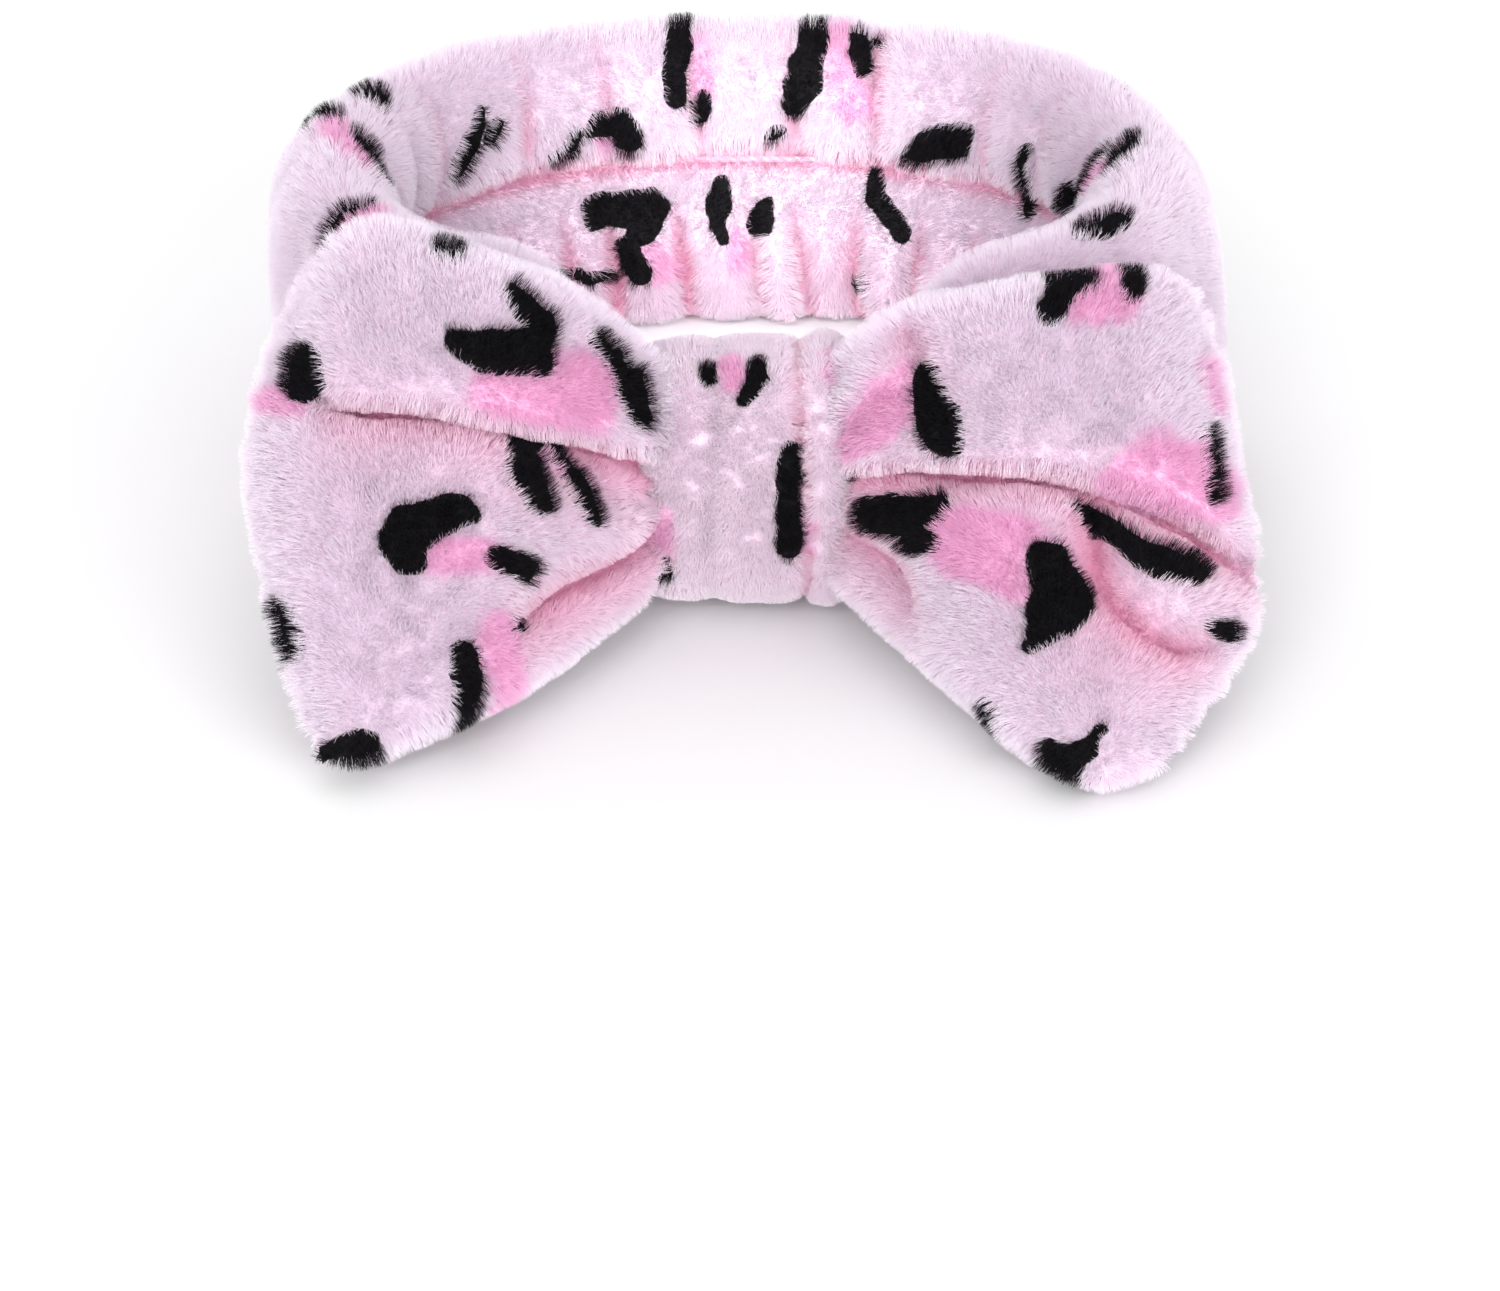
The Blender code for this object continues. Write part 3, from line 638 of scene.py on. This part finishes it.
# The leopard print as brush strokes. A stroke is a chain of (place, place, radius in millimetres).
# On the sleeve the places are millimetres along the ring from the front towards +X, and the share
# of a turn round the section. On a wing they are the shares (along, height). On the knot they are
# the share across its width, -1 to 1, and the angle round it: 90 is its top and 180 its front.
SLEEVE_BLACK = (
    ((256.5, 0.20, 1.8), (257, 0.255, 2.3), (258.5, 0.30, 2.2), (258.3, 0.335, 1.5)),
    ((252, 0.33, 0.9), (253, 0.36, 1.0)),
    ((226, 0.20, 2.0), (226.8, 0.255, 2.6), (227.5, 0.29, 3.2), (228.2, 0.315, 3.4), (230.5, 0.34, 1.8)),
    ((216, 0.235, 1.8), (215, 0.262, 2.2), (213.2, 0.285, 2.0)), ((212, 0.245, 0.9), (211.5, 0.25, 0.9)),
    ((201, 0.405, 2.2), (195.5, 0.382, 3.6), (189.5, 0.37, 4.0), (185.5, 0.352, 1.8)),
    ((164, 0.345, 0.5), (167, 0.38, 1.0), (167.5, 0.44, 1.3), (169.5, 0.50, 1.5)),
    ((126, 0.283, 1.4), (129, 0.31, 3.0), (131.5, 0.335, 2.6), (136, 0.36, 1.6)),
    ((141, 0.36, 1.6), (144, 0.375, 1.8), (149, 0.40, 1.4)), ((150, 0.46, 1.6), (151, 0.50, 2.0)),
    ((125, 0.24, 1.4), (120, 0.25, 2.4), (113, 0.272, 2.2)),
    ((72, 0.215, 1.6), (77, 0.205, 2.3), (83, 0.205, 2.2)), ((234.5, 0.39, 1.2), (236.5, 0.41, 0.9)),
    ((279, 0.37, 1.6), (277.5, 0.355, 2.2), (273.5, 0.355, 2.6), (270.5, 0.378, 2.4), (271, 0.405, 1.6)),
    ((283.5, 0.37, 1.0), (285.5, 0.395, 1.8), (288.5, 0.42, 1.6)),
    ((310.5, 0.31, 0.9), (312, 0.328, 1.4), (315.5, 0.35, 2.2), (319, 0.377, 2.0)),
    ((306, 0.333, 1.4), (308.5, 0.348, 1.2)),
    ((353, 0.125, 1.6), (350, 0.14, 3.2), (347, 0.155, 3.4), (348, 0.175, 3.0), (351, 0.20, 1.6)),
    ((359, 0.247, 1.6), (363, 0.262, 2.8), (367, 0.275, 2.8), (369, 0.295, 1.6)),
    ((400, 0.135, 1.6), (398, 0.15, 2.6), (397, 0.168, 2.8), (396, 0.185, 2.4), (397, 0.205, 1.8),
     (398, 0.225, 1.8)),
    ((334, 0.175, 1.4), (335, 0.20, 2.0), (337, 0.225, 2.2), (339, 0.245, 1.2)),
    ((277, 0.568, 3.7), (265, 0.572, 3.6)), ((265, 0.60, 2.4), (269, 0.615, 1.8)),
    ((272, 0.63, 2.2), (269, 0.665, 3.0)),
    ((294, 0.638, 0.4), (288, 0.652, 0.6), (281, 0.665, 0.8), (275, 0.668, 1.0)),
    ((247.5, 0.53, 1.4), (248.5, 0.57, 1.9), (248.5, 0.60, 1.4), (247, 0.625, 0.6)),
    ((237.5, 0.575, 1.2), (238.5, 0.605, 1.9)), ((210.5, 0.475, 1.0), (210.5, 0.545, 1.8)),
    ((209.5, 0.55, 1.8), (206.5, 0.575, 2.2), (202.5, 0.605, 1.2)),
    ((213.5, 0.675, 1.0), (213, 0.688, 1.3)), ((156, 0.165, 0.9), (154, 0.158, 0.9)),
)
SLEEVE_PINK = (
    ((253, 0.26, 2.2), (252, 0.32, 2.6)), ((221, 0.235, 3.4), (219, 0.29, 3.8), (215.5, 0.335, 4.8)),
    ((277, 0.395, 2.2), (273, 0.405, 2.2)),
    ((355, 0.20, 2.4), (362, 0.225, 3.0), (369, 0.245, 3.0), (373, 0.26, 2.0)),
    ((404, 0.14, 2.6), (402, 0.17, 3.0), (402, 0.20, 3.0), (402, 0.23, 2.6)),
    ((268, 0.62, 3.2), (263, 0.66, 4.4)), ((244, 0.62, 2.0), (243, 0.66, 2.4)),
    ((118, 0.29, 2.6), (122, 0.30, 2.6), (128, 0.33, 2.2)),
)
LEFT_BLACK = (
    ((0.895, 0.33, 3.4), (0.88, 0.25, 3.6)), ((0.615, 0.97, 0.8), (0.575, 0.95, 0.9)),
    ((0.535, 0.61, 0.8), (0.495, 0.61, 1.8), (0.447, 0.64, 2.1), (0.405, 0.70, 2.5), (0.397, 0.79, 2.1),
     (0.43, 0.83, 2.0), (0.46, 0.88, 1.0)),
    ((0.265, 0.85, 1.0), (0.205, 0.83, 2.2), (0.155, 0.79, 2.2), (0.11, 0.745, 1.0)),
    ((0.44, 0.06, 2.6), (0.437, -0.08, 3.4), (0.43, -0.20, 2.6)),
    ((0.365, 0.10, 1.8), (0.345, -0.06, 2.2), (0.32, -0.20, 2.4)),
    ((0.43, 0.13, 1.6), (0.36, 0.17, 1.6)),
    ((0.555, -0.28, 2.4), (0.585, -0.32, 3.6), (0.62, -0.35, 3.8), (0.65, -0.41, 3.2),
     (0.64, -0.495, 2.2)),
    ((0.49, -0.495, 2.2), (0.465, -0.51, 2.8), (0.445, -0.495, 1.0)),
    ((0.565, -0.83, 1.4), (0.56, -0.91, 2.6), (0.558, -0.985, 2.2)),
    ((0.47, -0.76, 0.5), (0.455, -0.75, 0.7)),
    ((0.99, -0.99, 2.4), (0.90, -1.0, 3.0), (0.81, -1.0, 2.4)),
    ((0.99, -0.60, 1.0), (0.985, -0.66, 1.8), (0.975, -0.73, 1.0)),
)
LEFT_PINK = (
    ((0.97, 0.18, 3.0), (0.90, 0.16, 3.0)), ((0.47, 0.47, 4.0), (0.385, 0.53, 5.2), (0.285, 0.60, 5.2)),
    ((0.40, 0.10, 2.2), (0.375, -0.03, 2.6)),
    ((0.62, -0.47, 3.6), (0.56, -0.48, 4.2), (0.51, -0.48, 3.6)),
    ((0.50, -0.76, 3.0), (0.505, -0.86, 4.4), (0.485, -0.94, 4.0)),
)
RIGHT_BLACK = (
    ((0.32, 0.66, 1.6), (0.33, 0.57, 2.5), (0.36, 0.46, 2.9), (0.38, 0.39, 1.9)),
    ((0.58, 0.875, 2.0), (0.61, 0.96, 1.9), (0.68, 0.99, 1.0)), ((0.79, 0.99, 2.0), (0.775, 0.92, 2.0)),
    ((0.935, 0.16, 0.8), (0.925, 0.06, 1.4), (0.92, -0.03, 0.9)),
    ((0.61, -0.13, 0.8), (0.67, -0.25, 2.2), (0.72, -0.33, 2.9), (0.765, -0.37, 3.4),
     (0.82, -0.385, 3.4), (0.85, -0.36, 2.0)),
    ((0.19, -0.24, 4.0), (0.28, -0.23, 4.6), (0.36, -0.21, 4.0)),
    ((0.33, -0.37, 2.8), (0.375, -0.41, 2.0)),
    ((0.575, -0.43, 3.0), (0.61, -0.54, 4.6), (0.61, -0.63, 4.0), (0.59, -0.735, 1.8)),
    ((0.91, -0.585, 1.4), (0.955, -0.595, 1.5)),
    ((0.65, -1.0, 0.8), (0.69, -1.0, 1.7), (0.735, -0.96, 1.4), (0.75, -0.91, 0.8)),
    ((0.50, -1.0, 0.0), (0.53, -1.0, 0.0)),
)
RIGHT_PINK = (
    ((0.13, 0.60, 4.0), (0.20, 0.60, 4.6), (0.28, 0.64, 3.8)), ((0.65, 0.90, 5.4), (0.73, 0.90, 5.6)),
    ((0.97, 0.50, 1.8), (0.97, 0.35, 2.4), (0.96, 0.25, 1.8)),
    ((0.70, 0.02, 5.0), (0.78, 0.0, 7.6), (0.87, -0.02, 6.6), (0.93, -0.04, 4.0)),
    ((0.42, -0.34, 6.2), (0.50, -0.43, 8.0), (0.56, -0.50, 7.2)),
)
KNOT_BLACK = (
    ((-0.40, 106, 1.2), (-0.41, 116, 1.1)), ((0.06, 102, 1.1), (0.06, 118, 1.5), (-0.05, 135, 1.1)),
    ((0.40, 168, 1.8), (0.375, 185, 2.4), (0.385, 200, 2.0)), ((-0.80, 212, 1.0), (-0.80, 222, 1.0)),
    ((1.0, 168, 1.5), (1.0, 178, 1.8)), ((0.92, 132, 0.7), (1.0, 148, 0.9)),
)
KNOT_PINK = (
    ((-0.20, 102, 2.6), (-0.14, 116, 2.8)), ((0.58, 188, 2.0), (0.58, 200, 2.2)),
    ((-0.90, 186, 3.0), (-0.86, 203, 3.0)), ((0.85, 100, 3.2), (0.86, 110, 3.2)),
)

INK_SPREAD = 0.0007            # every black stroke is this much wider all round, in metres

# The strokes' own places per millimetre, along a piece and across it: the tube is 158 mm round, and
# a wing is about 80 mm long and 48 mm from its middle to a rim.
SLEEVE_PLACES = np.array([1.0, 1 / 158])
WING_PLACES = np.array([1 / 80, 1 / 48])


def brush(points, chains, ragged, soft, seed):
    """How much of each point a set of strokes covers; a chain is (3-D points, radii)."""
    best = np.full(points.shape[:-1], 9.0)
    for places, radii in chains:
        for start, end, first, last in zip(places, places[1:], radii, radii[1:]):
            distance, share = segment_distance(points, start, end)
            best = np.minimum(best, distance - (first + (last - first) * share))
    rough = noise(points, 0.0024, seed) * 0.55 + noise(points, 0.0060, seed + 1) * 0.45
    return smooth_step(soft, -soft, best + rough * ragged)


def stroke_chains(strokes, place_of, spread=0.0):
    """Strokes in 3-D, each wider by a spread: place_of turns the strokes' own places into points."""
    chains = []
    for stroke in strokes:
        first, second, radii = np.array(stroke, float).T
        fine = np.linspace(0, 1, 4 * len(first) - 3)
        knots = np.linspace(0, 1, len(first))
        first, second, radii = (np.interp(fine, knots, row) for row in (first, second, radii))
        chains.append((place_of(first, second), radii * MM + spread))
    return chains


def rosette(rng, centre, scale):
    """One loose rosette: a pink blotch with black strokes beside it. Returns black, pink strokes."""
    tilt = rng.uniform(0, math.pi)
    across = np.array([math.cos(tilt), math.sin(tilt)])
    beside = np.array([-across[1], across[0]])

    def stroke(*steps):
        return tuple(
            (*(centre + (across * a + beside * b) * scale), radius) for a, b, radius in steps
        )

    size = rng.uniform(0.8, 1.15)
    bend = rng.uniform(-2, 2)
    pink = [stroke((-4 * size, 0, 3.4 * size), (4 * size, bend, 4.0 * size))]
    black = [stroke((-8 * size, -4, 1.8), (-8 * size, 1, 3.0 * size), (-5 * size, 5, 1.8))]
    if rng.random() < 0.75:
        black.append(stroke((8 * size, -3 + bend, 2.0), (9 * size, 4 + bend, 2.8 * size)))
    if rng.random() < 0.4:
        black.append(stroke((-2, -7 * size, 1.2), (3, -8 * size, 2.2)))
    return black, pink


def scatter(seed, centres, scale):
    """Rosettes at loosely spaced centres, for the sides that have no strokes of their own."""
    rng = np.random.default_rng(seed)
    black, pink = [], []
    for centre in centres:
        jitter = rng.uniform(-5, 5, 2) * scale
        more_black, more_pink = rosette(rng, np.array(centre) + jitter, scale)
        black += more_black
        pink += more_pink
    return black, pink


def paint(obj, black, pink, crease_shade):
    """Store three masks on the mesh's corners: black marks, pink blotches and painted shade in deep
    folds.
    """
    mesh = obj.data
    layer = mesh.color_attributes.new(name="print", type="BYTE_COLOR", domain="CORNER")
    corners = np.empty(len(mesh.loops), dtype=np.int32)
    mesh.loops.foreach_get("vertex_index", corners)
    colours = np.stack([black, pink, crease_shade, np.ones_like(black)], axis=-1)[corners]
    layer.data.foreach_set("color", colours.astype(np.float32).ravel())
    mesh.color_attributes.active_color = layer
    mesh.color_attributes.render_color_index = 0


# ---- Materials ----

def add_node(tree, kind, **settings):
    """A new node of a kind, with its settings."""
    node = tree.nodes.new(kind)
    for key, value in settings.items():
        setattr(node, key, value)
    return node


def feed(tree, node, slot, value):
    """Give a node's input a socket to follow, or a plain value."""
    if isinstance(value, bpy.types.NodeSocket):
        tree.links.new(value, node.inputs[slot])
    else:
        node.inputs[slot].default_value = value


def mix_colours(tree, fac, first, second):
    """A colour mix node; each input is a socket or a plain value."""
    node = add_node(tree, "ShaderNodeMix", data_type="RGBA")
    for slot, value in ((0, fac), (6, first), (7, second)):
        feed(tree, node, slot, value)
    return node.outputs[2]


PALE = (0.955, 0.900, 0.970, 1)
ROOT = (0.945, 0.805, 0.925, 1)
KNOT_PALE = (0.960, 0.885, 0.955, 1)
KNOT_ROOT = (0.960, 0.800, 0.910, 1)
# The cloth under the pile is darker than the hairs, which shade each other.
CLOTH_PALE = (0.860, 0.745, 0.850, 1)
CLOTH_ROOT = (0.820, 0.640, 0.770, 1)
# Painted shade and painted reflection: the deep pink painted into folds, where shade falls and the
# fleece bounces its own colour.
FOLD_SHADE_PINK = (0.930, 0.420, 0.620, 1)
BLOTCH = (0.960, 0.585, 0.810, 1)
INK = (0.010, 0.009, 0.011, 1)


def math_node(tree, operation, *values, clamp=False):
    """A math node's output; each input is a socket or a plain value."""
    node = add_node(tree, "ShaderNodeMath", operation=operation, use_clamp=clamp)
    for slot, value in enumerate(values):
        feed(tree, node, slot, value)
    return node.outputs[0]


def noise_node(tree, place, features_per_metre, detail=2.0):
    """A noise texture's value, about 0.5, over a place socket in metres."""
    node = add_node(tree, "ShaderNodeTexNoise")
    node.inputs["Scale"].default_value = features_per_metre
    node.inputs["Detail"].default_value = detail
    tree.links.new(place, node.inputs["Vector"])
    return node.outputs[0]


def bump_nodes(tree, shader, height, strength, distance):
    """Drive a shader's normal from a height socket."""
    bump = add_node(tree, "ShaderNodeBump")
    bump.inputs["Strength"].default_value = strength
    bump.inputs["Distance"].default_value = distance
    tree.links.new(height, bump.inputs["Height"])
    tree.links.new(bump.outputs["Normal"], shader.inputs["Normal"])


def two_tone(tree, shader, heights, low, high, strength, distance):
    """Colour and raise a surface by the mean of two height sockets, from its low colour to its high."""
    height = math_node(tree, "MULTIPLY", math_node(tree, "ADD", *heights), 0.5)
    tree.links.new(mix_colours(tree, height, low, high), shader.inputs["Base Color"])
    bump_nodes(tree, shader, height, strength, distance)


def new_material(name, roughness, specular=0.3):
    """A material with a Principled shader; returns it with its tree and shader."""
    material = bpy.data.materials.new(name)
    material.use_nodes = True
    shader = material.node_tree.nodes["Principled BSDF"]
    shader.inputs["Roughness"].default_value = roughness
    shader.inputs["Specular IOR Level"].default_value = specular
    return material, material.node_tree, shader


def fleece_material(name, strand, root, tip_colour):
    """Fleece: printed pile, paler at its tips. strand is True for the hairs themselves."""
    material, tree, shader = new_material(name, 0.8, 0.15)
    attribute = add_node(tree, "ShaderNodeAttribute", attribute_name="print")
    split = add_node(tree, "ShaderNodeSeparateColor")
    tree.links.new(attribute.outputs["Color"], split.inputs[0])
    if strand:
        hair = add_node(tree, "ShaderNodeHairInfo")
        tip = hair.outputs["Intercept"]
        stray = hair.outputs["Random"]
    else:
        place = add_node(tree, "ShaderNodeTexCoord").outputs["Object"]
        tufts = noise_node(tree, place, 420)
        stray = noise_node(tree, place, 1500, detail=3.0)
        tip = math_node(tree, "MULTIPLY_ADD", tufts, 1.6, -0.3, clamp=True)
        bump_nodes(tree, shader, math_node(tree, "ADD", tufts, stray), 0.7, 0.0012)
    base = mix_colours(tree, tip, root, tip_colour)
    # Painted shade: the third mask turns the fleece a deeper pink in its folds.
    fold_shaded = mix_colours(tree, split.outputs[2], base, FOLD_SHADE_PINK)
    pink = mix_colours(tree, split.outputs[1], fold_shaded, BLOTCH)
    ragged = math_node(tree, "MULTIPLY_ADD", stray, 0.9, 0.55)
    ragged = math_node(tree, "MULTIPLY", ragged, split.outputs[0])
    inked = add_node(tree, "ShaderNodeMapRange", interpolation_type="SMOOTHSTEP")
    inked.inputs["From Min"].default_value = 0.30
    inked.inputs["From Max"].default_value = 0.55
    tree.links.new(ragged, inked.inputs["Value"])
    colour = mix_colours(tree, inked.outputs["Result"], pink, INK)
    tree.links.new(colour, shader.inputs["Base Color"])
    if not strand:
        bare = math_node(tree, "SUBTRACT", 1.0, inked.outputs["Result"], clamp=True)
        tree.links.new(math_node(tree, "MULTIPLY", bare, 0.08), shader.inputs["Sheen Weight"])
        shader.inputs["Sheen Roughness"].default_value = 0.5
    return material


def wadding_material():
    """Polyester wadding: white matted fibres."""
    material, tree, shader = new_material("polyester_wadding", 0.75)
    place = add_node(tree, "ShaderNodeTexCoord").outputs["Object"]
    clouds = noise_node(tree, place, 160, detail=4.0)
    fibres = noise_node(tree, place, 1300, detail=4.0)
    two_tone(tree, shader, (clouds, fibres), (0.78, 0.79, 0.80, 1), (0.95, 0.95, 0.94, 1), 0.8, 0.0015)
    shader.inputs["Sheen Weight"].default_value = 0.3
    return material


WAVE_TURN = 20                 # a wave texture turns by this many radians a metre at scale 1


def striped(tree, place, direction, stripes_per_metre, distortion=0.0):
    """A wave texture's value over a place socket in metres; light and dark stripes both count."""
    wave = add_node(tree, "ShaderNodeTexWave", bands_direction=direction)
    wave.inputs["Scale"].default_value = stripes_per_metre * math.pi / WAVE_TURN
    wave.inputs["Distortion"].default_value = distortion
    tree.links.new(place, wave.inputs["Vector"])
    return wave.outputs["Fac"]


def elastic_material():
    """Knitted elastic: off-white, with ribs along it and fine stitches across them."""
    material, tree, shader = new_material("elastic_weave", 0.6)
    place = add_node(tree, "ShaderNodeTexCoord").outputs["Object"]
    ribs = striped(tree, place, "Z", 650)
    stitches = striped(tree, place, "X", 1100, distortion=0.6)
    two_tone(tree, shader, (ribs, stitches), (0.62, 0.60, 0.60, 1), (0.93, 0.92, 0.91, 1), 0.8, 0.0004)
    return material


def thread_material():
    """Sewing thread: pink, twisted, with a slight gloss."""
    material, tree, shader = new_material("sewing_thread", 0.45, 0.5)
    place = add_node(tree, "ShaderNodeTexCoord").outputs["Object"]
    twist = striped(tree, place, "DIAGONAL", 1600, distortion=1.0)
    fuzz = noise_node(tree, place, 2500)
    two_tone(tree, shader, (twist, fuzz), (0.72, 0.36, 0.50, 1), (0.93, 0.68, 0.80, 1), 0.7, 0.0003)
    shader.inputs["Sheen Weight"].default_value = 0.2
    return material


PILE_SETTINGS = {
    "hair_step": 3, "render_step": 2, "display_step": 1, "use_advanced_hair": True,
    "emit_from": "FACE", "use_even_distribution": True, "distribution": "RAND",
    "child_type": "INTERPOLATED", "child_percent": 0, "clump_factor": 0.12, "clump_shape": 0.2,
    "roughness_1": 0.0004, "roughness_1_size": 0.004, "roughness_2": 0.0003,
    "roughness_2_size": 0.002, "roughness_endpoint": 0.0007, "child_length": 1.0,
    "root_radius": 0.12, "tip_radius": 0.04, "radius_scale": 0.001,
    "material": 2,               # the mesh's second material is the hairs'
}


def add_pile(obj, parents, children, seed, length=0.0038):
    """Grow the fleece's pile on a mesh as hair."""
    obj.modifiers.new("pile", "PARTICLE_SYSTEM")
    system = obj.particle_systems[-1]
    system.seed = seed
    settings = system.settings
    settings.name = f"{obj.name}_pile"
    settings.type = "HAIR"
    settings.count = parents
    settings.hair_length = length
    for key, value in PILE_SETTINGS.items():
        setattr(settings, key, value)
    settings.rendered_child_count = children
    system.vertex_group_length = "pile"


# ---- Build ----

def set_lengths(obj, weights):
    """A vertex group that says how long the pile is at each vertex, from 0 to 1."""
    group = obj.vertex_groups.new(name="pile")
    weights = np.round(np.clip(weights.ravel(), 0, 1), 1)
    for value in np.unique(weights):
        group.add(np.nonzero(weights == value)[0].tolist(), float(value), "REPLACE")


def build_sleeve():
    """The whole band's fleece, with its gathers and its print."""
    grid, normals, crease_shade = sleeve_grid()

    def place_of(distance, turn):
        return sleeve_surface(distance * MM, np.mod(turn, 1.0))[0]

    outside = [(150 + 21 * k, 0.94 if k % 2 else 1.07) for k in range(10)]
    outside += [(45, 0.02), (78, 0.95), (105, 0.90), (405, 0.90), (433, 0.97), (462, 0.02)]
    inside = [(40, 0.40), (75, 0.55), (112, 0.62), (392, 0.60), (432, 0.54), (468, 0.42)]
    more_black, more_pink = scatter(11, outside + inside, SLEEVE_PLACES)
    black_chains = stroke_chains(SLEEVE_BLACK + tuple(more_black), place_of, INK_SPREAD)
    pink_chains = stroke_chains(SLEEVE_PINK + tuple(more_pink), place_of)
    black = brush(grid, black_chains, 0.0012, 0.0008, 41)
    pink = brush(grid, pink_chains, 0.0016, 0.0013, 43)
    inset = PILE_INSET * smooth_step(0.0, 0.010, grid[..., 2])
    grid = grid + normals * (pile_relief(grid, 21) - inset)[..., None]
    grid[..., 2] = np.maximum(grid[..., 2], FLOOR_GAP)
    faces = grid_faces(*grid.shape[:2], closed_rows=True)
    sleeve = make_object("fleece_sleeve", grid, faces, (black, pink, crease_shade))
    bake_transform(sleeve)
    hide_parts("sleeve_left", "sleeve_right", "sleeve_rear")
    under_knot = (np.abs(grid[..., 0]) < 0.018) & (grid[..., 1] < RING_CENTRE[1])
    set_lengths(sleeve, np.where(under_knot, 0, 0.3 + 0.7 * smooth_step(0.001, 0.006, grid[..., 2])))
    return sleeve


def build_wing(word, net, folds, seed, front, back_centres):
    """One wing of the bow, and the wadding inside it."""
    grid, normals, middle, facing, crease_shade, room = wing_grid(net, folds, seed)
    rows = wing_rows(net)

    def place_of(along, height):
        return wing_middle(rows, along, height)

    back_black, back_pink = scatter(seed + 20, back_centres, WING_PLACES)
    on_front = smooth_step(-0.45, -0.15, facing)
    on_back = smooth_step(-0.10, -0.40, facing)

    def both(front_strokes, back_strokes, spread, ragged, soft, noise_seed):
        masks = []
        for strokes, shown in ((front_strokes, on_front), (back_strokes, on_back)):
            chains = stroke_chains(strokes, place_of, spread)
            masks.append(brush(middle, chains, ragged, soft, noise_seed) * shown)
        return np.maximum(*masks)

    black = both(front[0], back_black, INK_SPREAD, 0.0012, 0.0009, 70 + seed)
    pink = both(front[1], back_pink, 0.0, 0.0018, 0.0014, 80 + seed)
    inset = PILE_INSET * smooth_step(0.002, 0.010, grid[..., 2])
    grid = grid + normals * (room * (pile_relief(grid, 30 + seed) - inset))[..., None]
    grid[..., 2] = np.maximum(grid[..., 2], FLOOR_GAP)
    wing = closed_tube(f"bow_wing_{word}", grid, (black, pink, crease_shade))

    def swing(piece):
        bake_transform(piece)

    swing(wing)
    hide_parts(f"bow_shell_{word}")
    pile_share = (0.3 + 0.7 * smooth_step(0.002, 0.007, grid[..., 2])) * (1 - 0.7 * crease_shade)
    set_lengths(wing, np.where(np.abs(grid[..., 0]) < 0.017, 0, pile_share))

    core, outwards, inner_middle, facing, _, _ = wing_grid(
        net, (), seed, stations=50, columns=90, reach=WADDING_REACH)
    fullness = FRONT_FILL + (BACK_FILL - FRONT_FILL) * smooth_step(0.2, -0.2, facing)[..., None]
    core = inner_middle + (core - inner_middle) * fullness
    core = core + outwards * noise(core, 0.009, 90 + seed)[..., None] * 0.0005
    filling = closed_tube(f"wadding_{word}", core[WADDING_ROWS])
    swing(filling)
    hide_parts(f"bow_wadding_{word}")
    return wing, filling


THREADS = (
    "sleeve_seam_left", "sleeve_seam_right", "sleeve_seam_rear", "sleeve_end_seam", "elastic_tack_left",
    "elastic_tack_right", "gather_thread", "bow_tack_upper", "bow_tack_lower", "knot_closing_stitch",
    "bow_edge_seam_left", "bow_edge_seam_right",
)


def finish_nodes(names, material):
    """Give CAD nodes that stay a finished material."""
    for name in names:
        bpy.data.objects[name].material_slots[0].material = material


add_camera()
add_stage()

sleeve = build_sleeve()
wing_left, wadding_left = build_wing(
    "left", LEFT_WING, LEFT_FOLDS, 1, (LEFT_BLACK, LEFT_PINK),
    ((0.38, 0.45), (0.36, -0.35), (0.62, 0.05), (0.84, -0.50), (0.82, 0.55), (0.60, -0.80)),
)
wing_right, wadding_right = build_wing(
    "right", RIGHT_WING, RIGHT_FOLDS, 2, (RIGHT_BLACK, RIGHT_PINK),
    ((0.36, 0.40), (0.40, -0.40), (0.64, 0.0), (0.85, -0.45), (0.84, 0.50), (0.62, -0.82)),
)
knot, knot_outside = knot_object()
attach(knot, "front_band")
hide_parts("knot_wrap")
set_lengths(knot, knot_outside * 0.9)

fleece = fleece_material("coral_fleece", False, CLOTH_ROOT, CLOTH_PALE)
pile_hair = fleece_material("coral_fleece_pile", True, ROOT, PALE)
for obj in (sleeve, wing_left, wing_right):
    obj.data.materials.append(fleece)
    obj.data.materials.append(pile_hair)
knot.data.materials.append(fleece_material("knot_fleece", False, CLOTH_ROOT, CLOTH_PALE))
knot.data.materials.append(fleece_material("knot_fleece_pile", True, KNOT_ROOT, KNOT_PALE))
wadding = wadding_material()
for obj in (wadding_left, wadding_right):
    obj.data.materials.append(wadding)
finish_nodes(("bow_waist",), fleece)
finish_nodes(("elastic_strip",), elastic_material())
finish_nodes(THREADS, thread_material())

add_pile(sleeve, 16000, 24, seed=1)
add_pile(wing_left, 5000, 24, seed=2)
add_pile(wing_right, 5000, 24, seed=3)
add_pile(knot, 6000, 24, seed=4, length=0.0027)
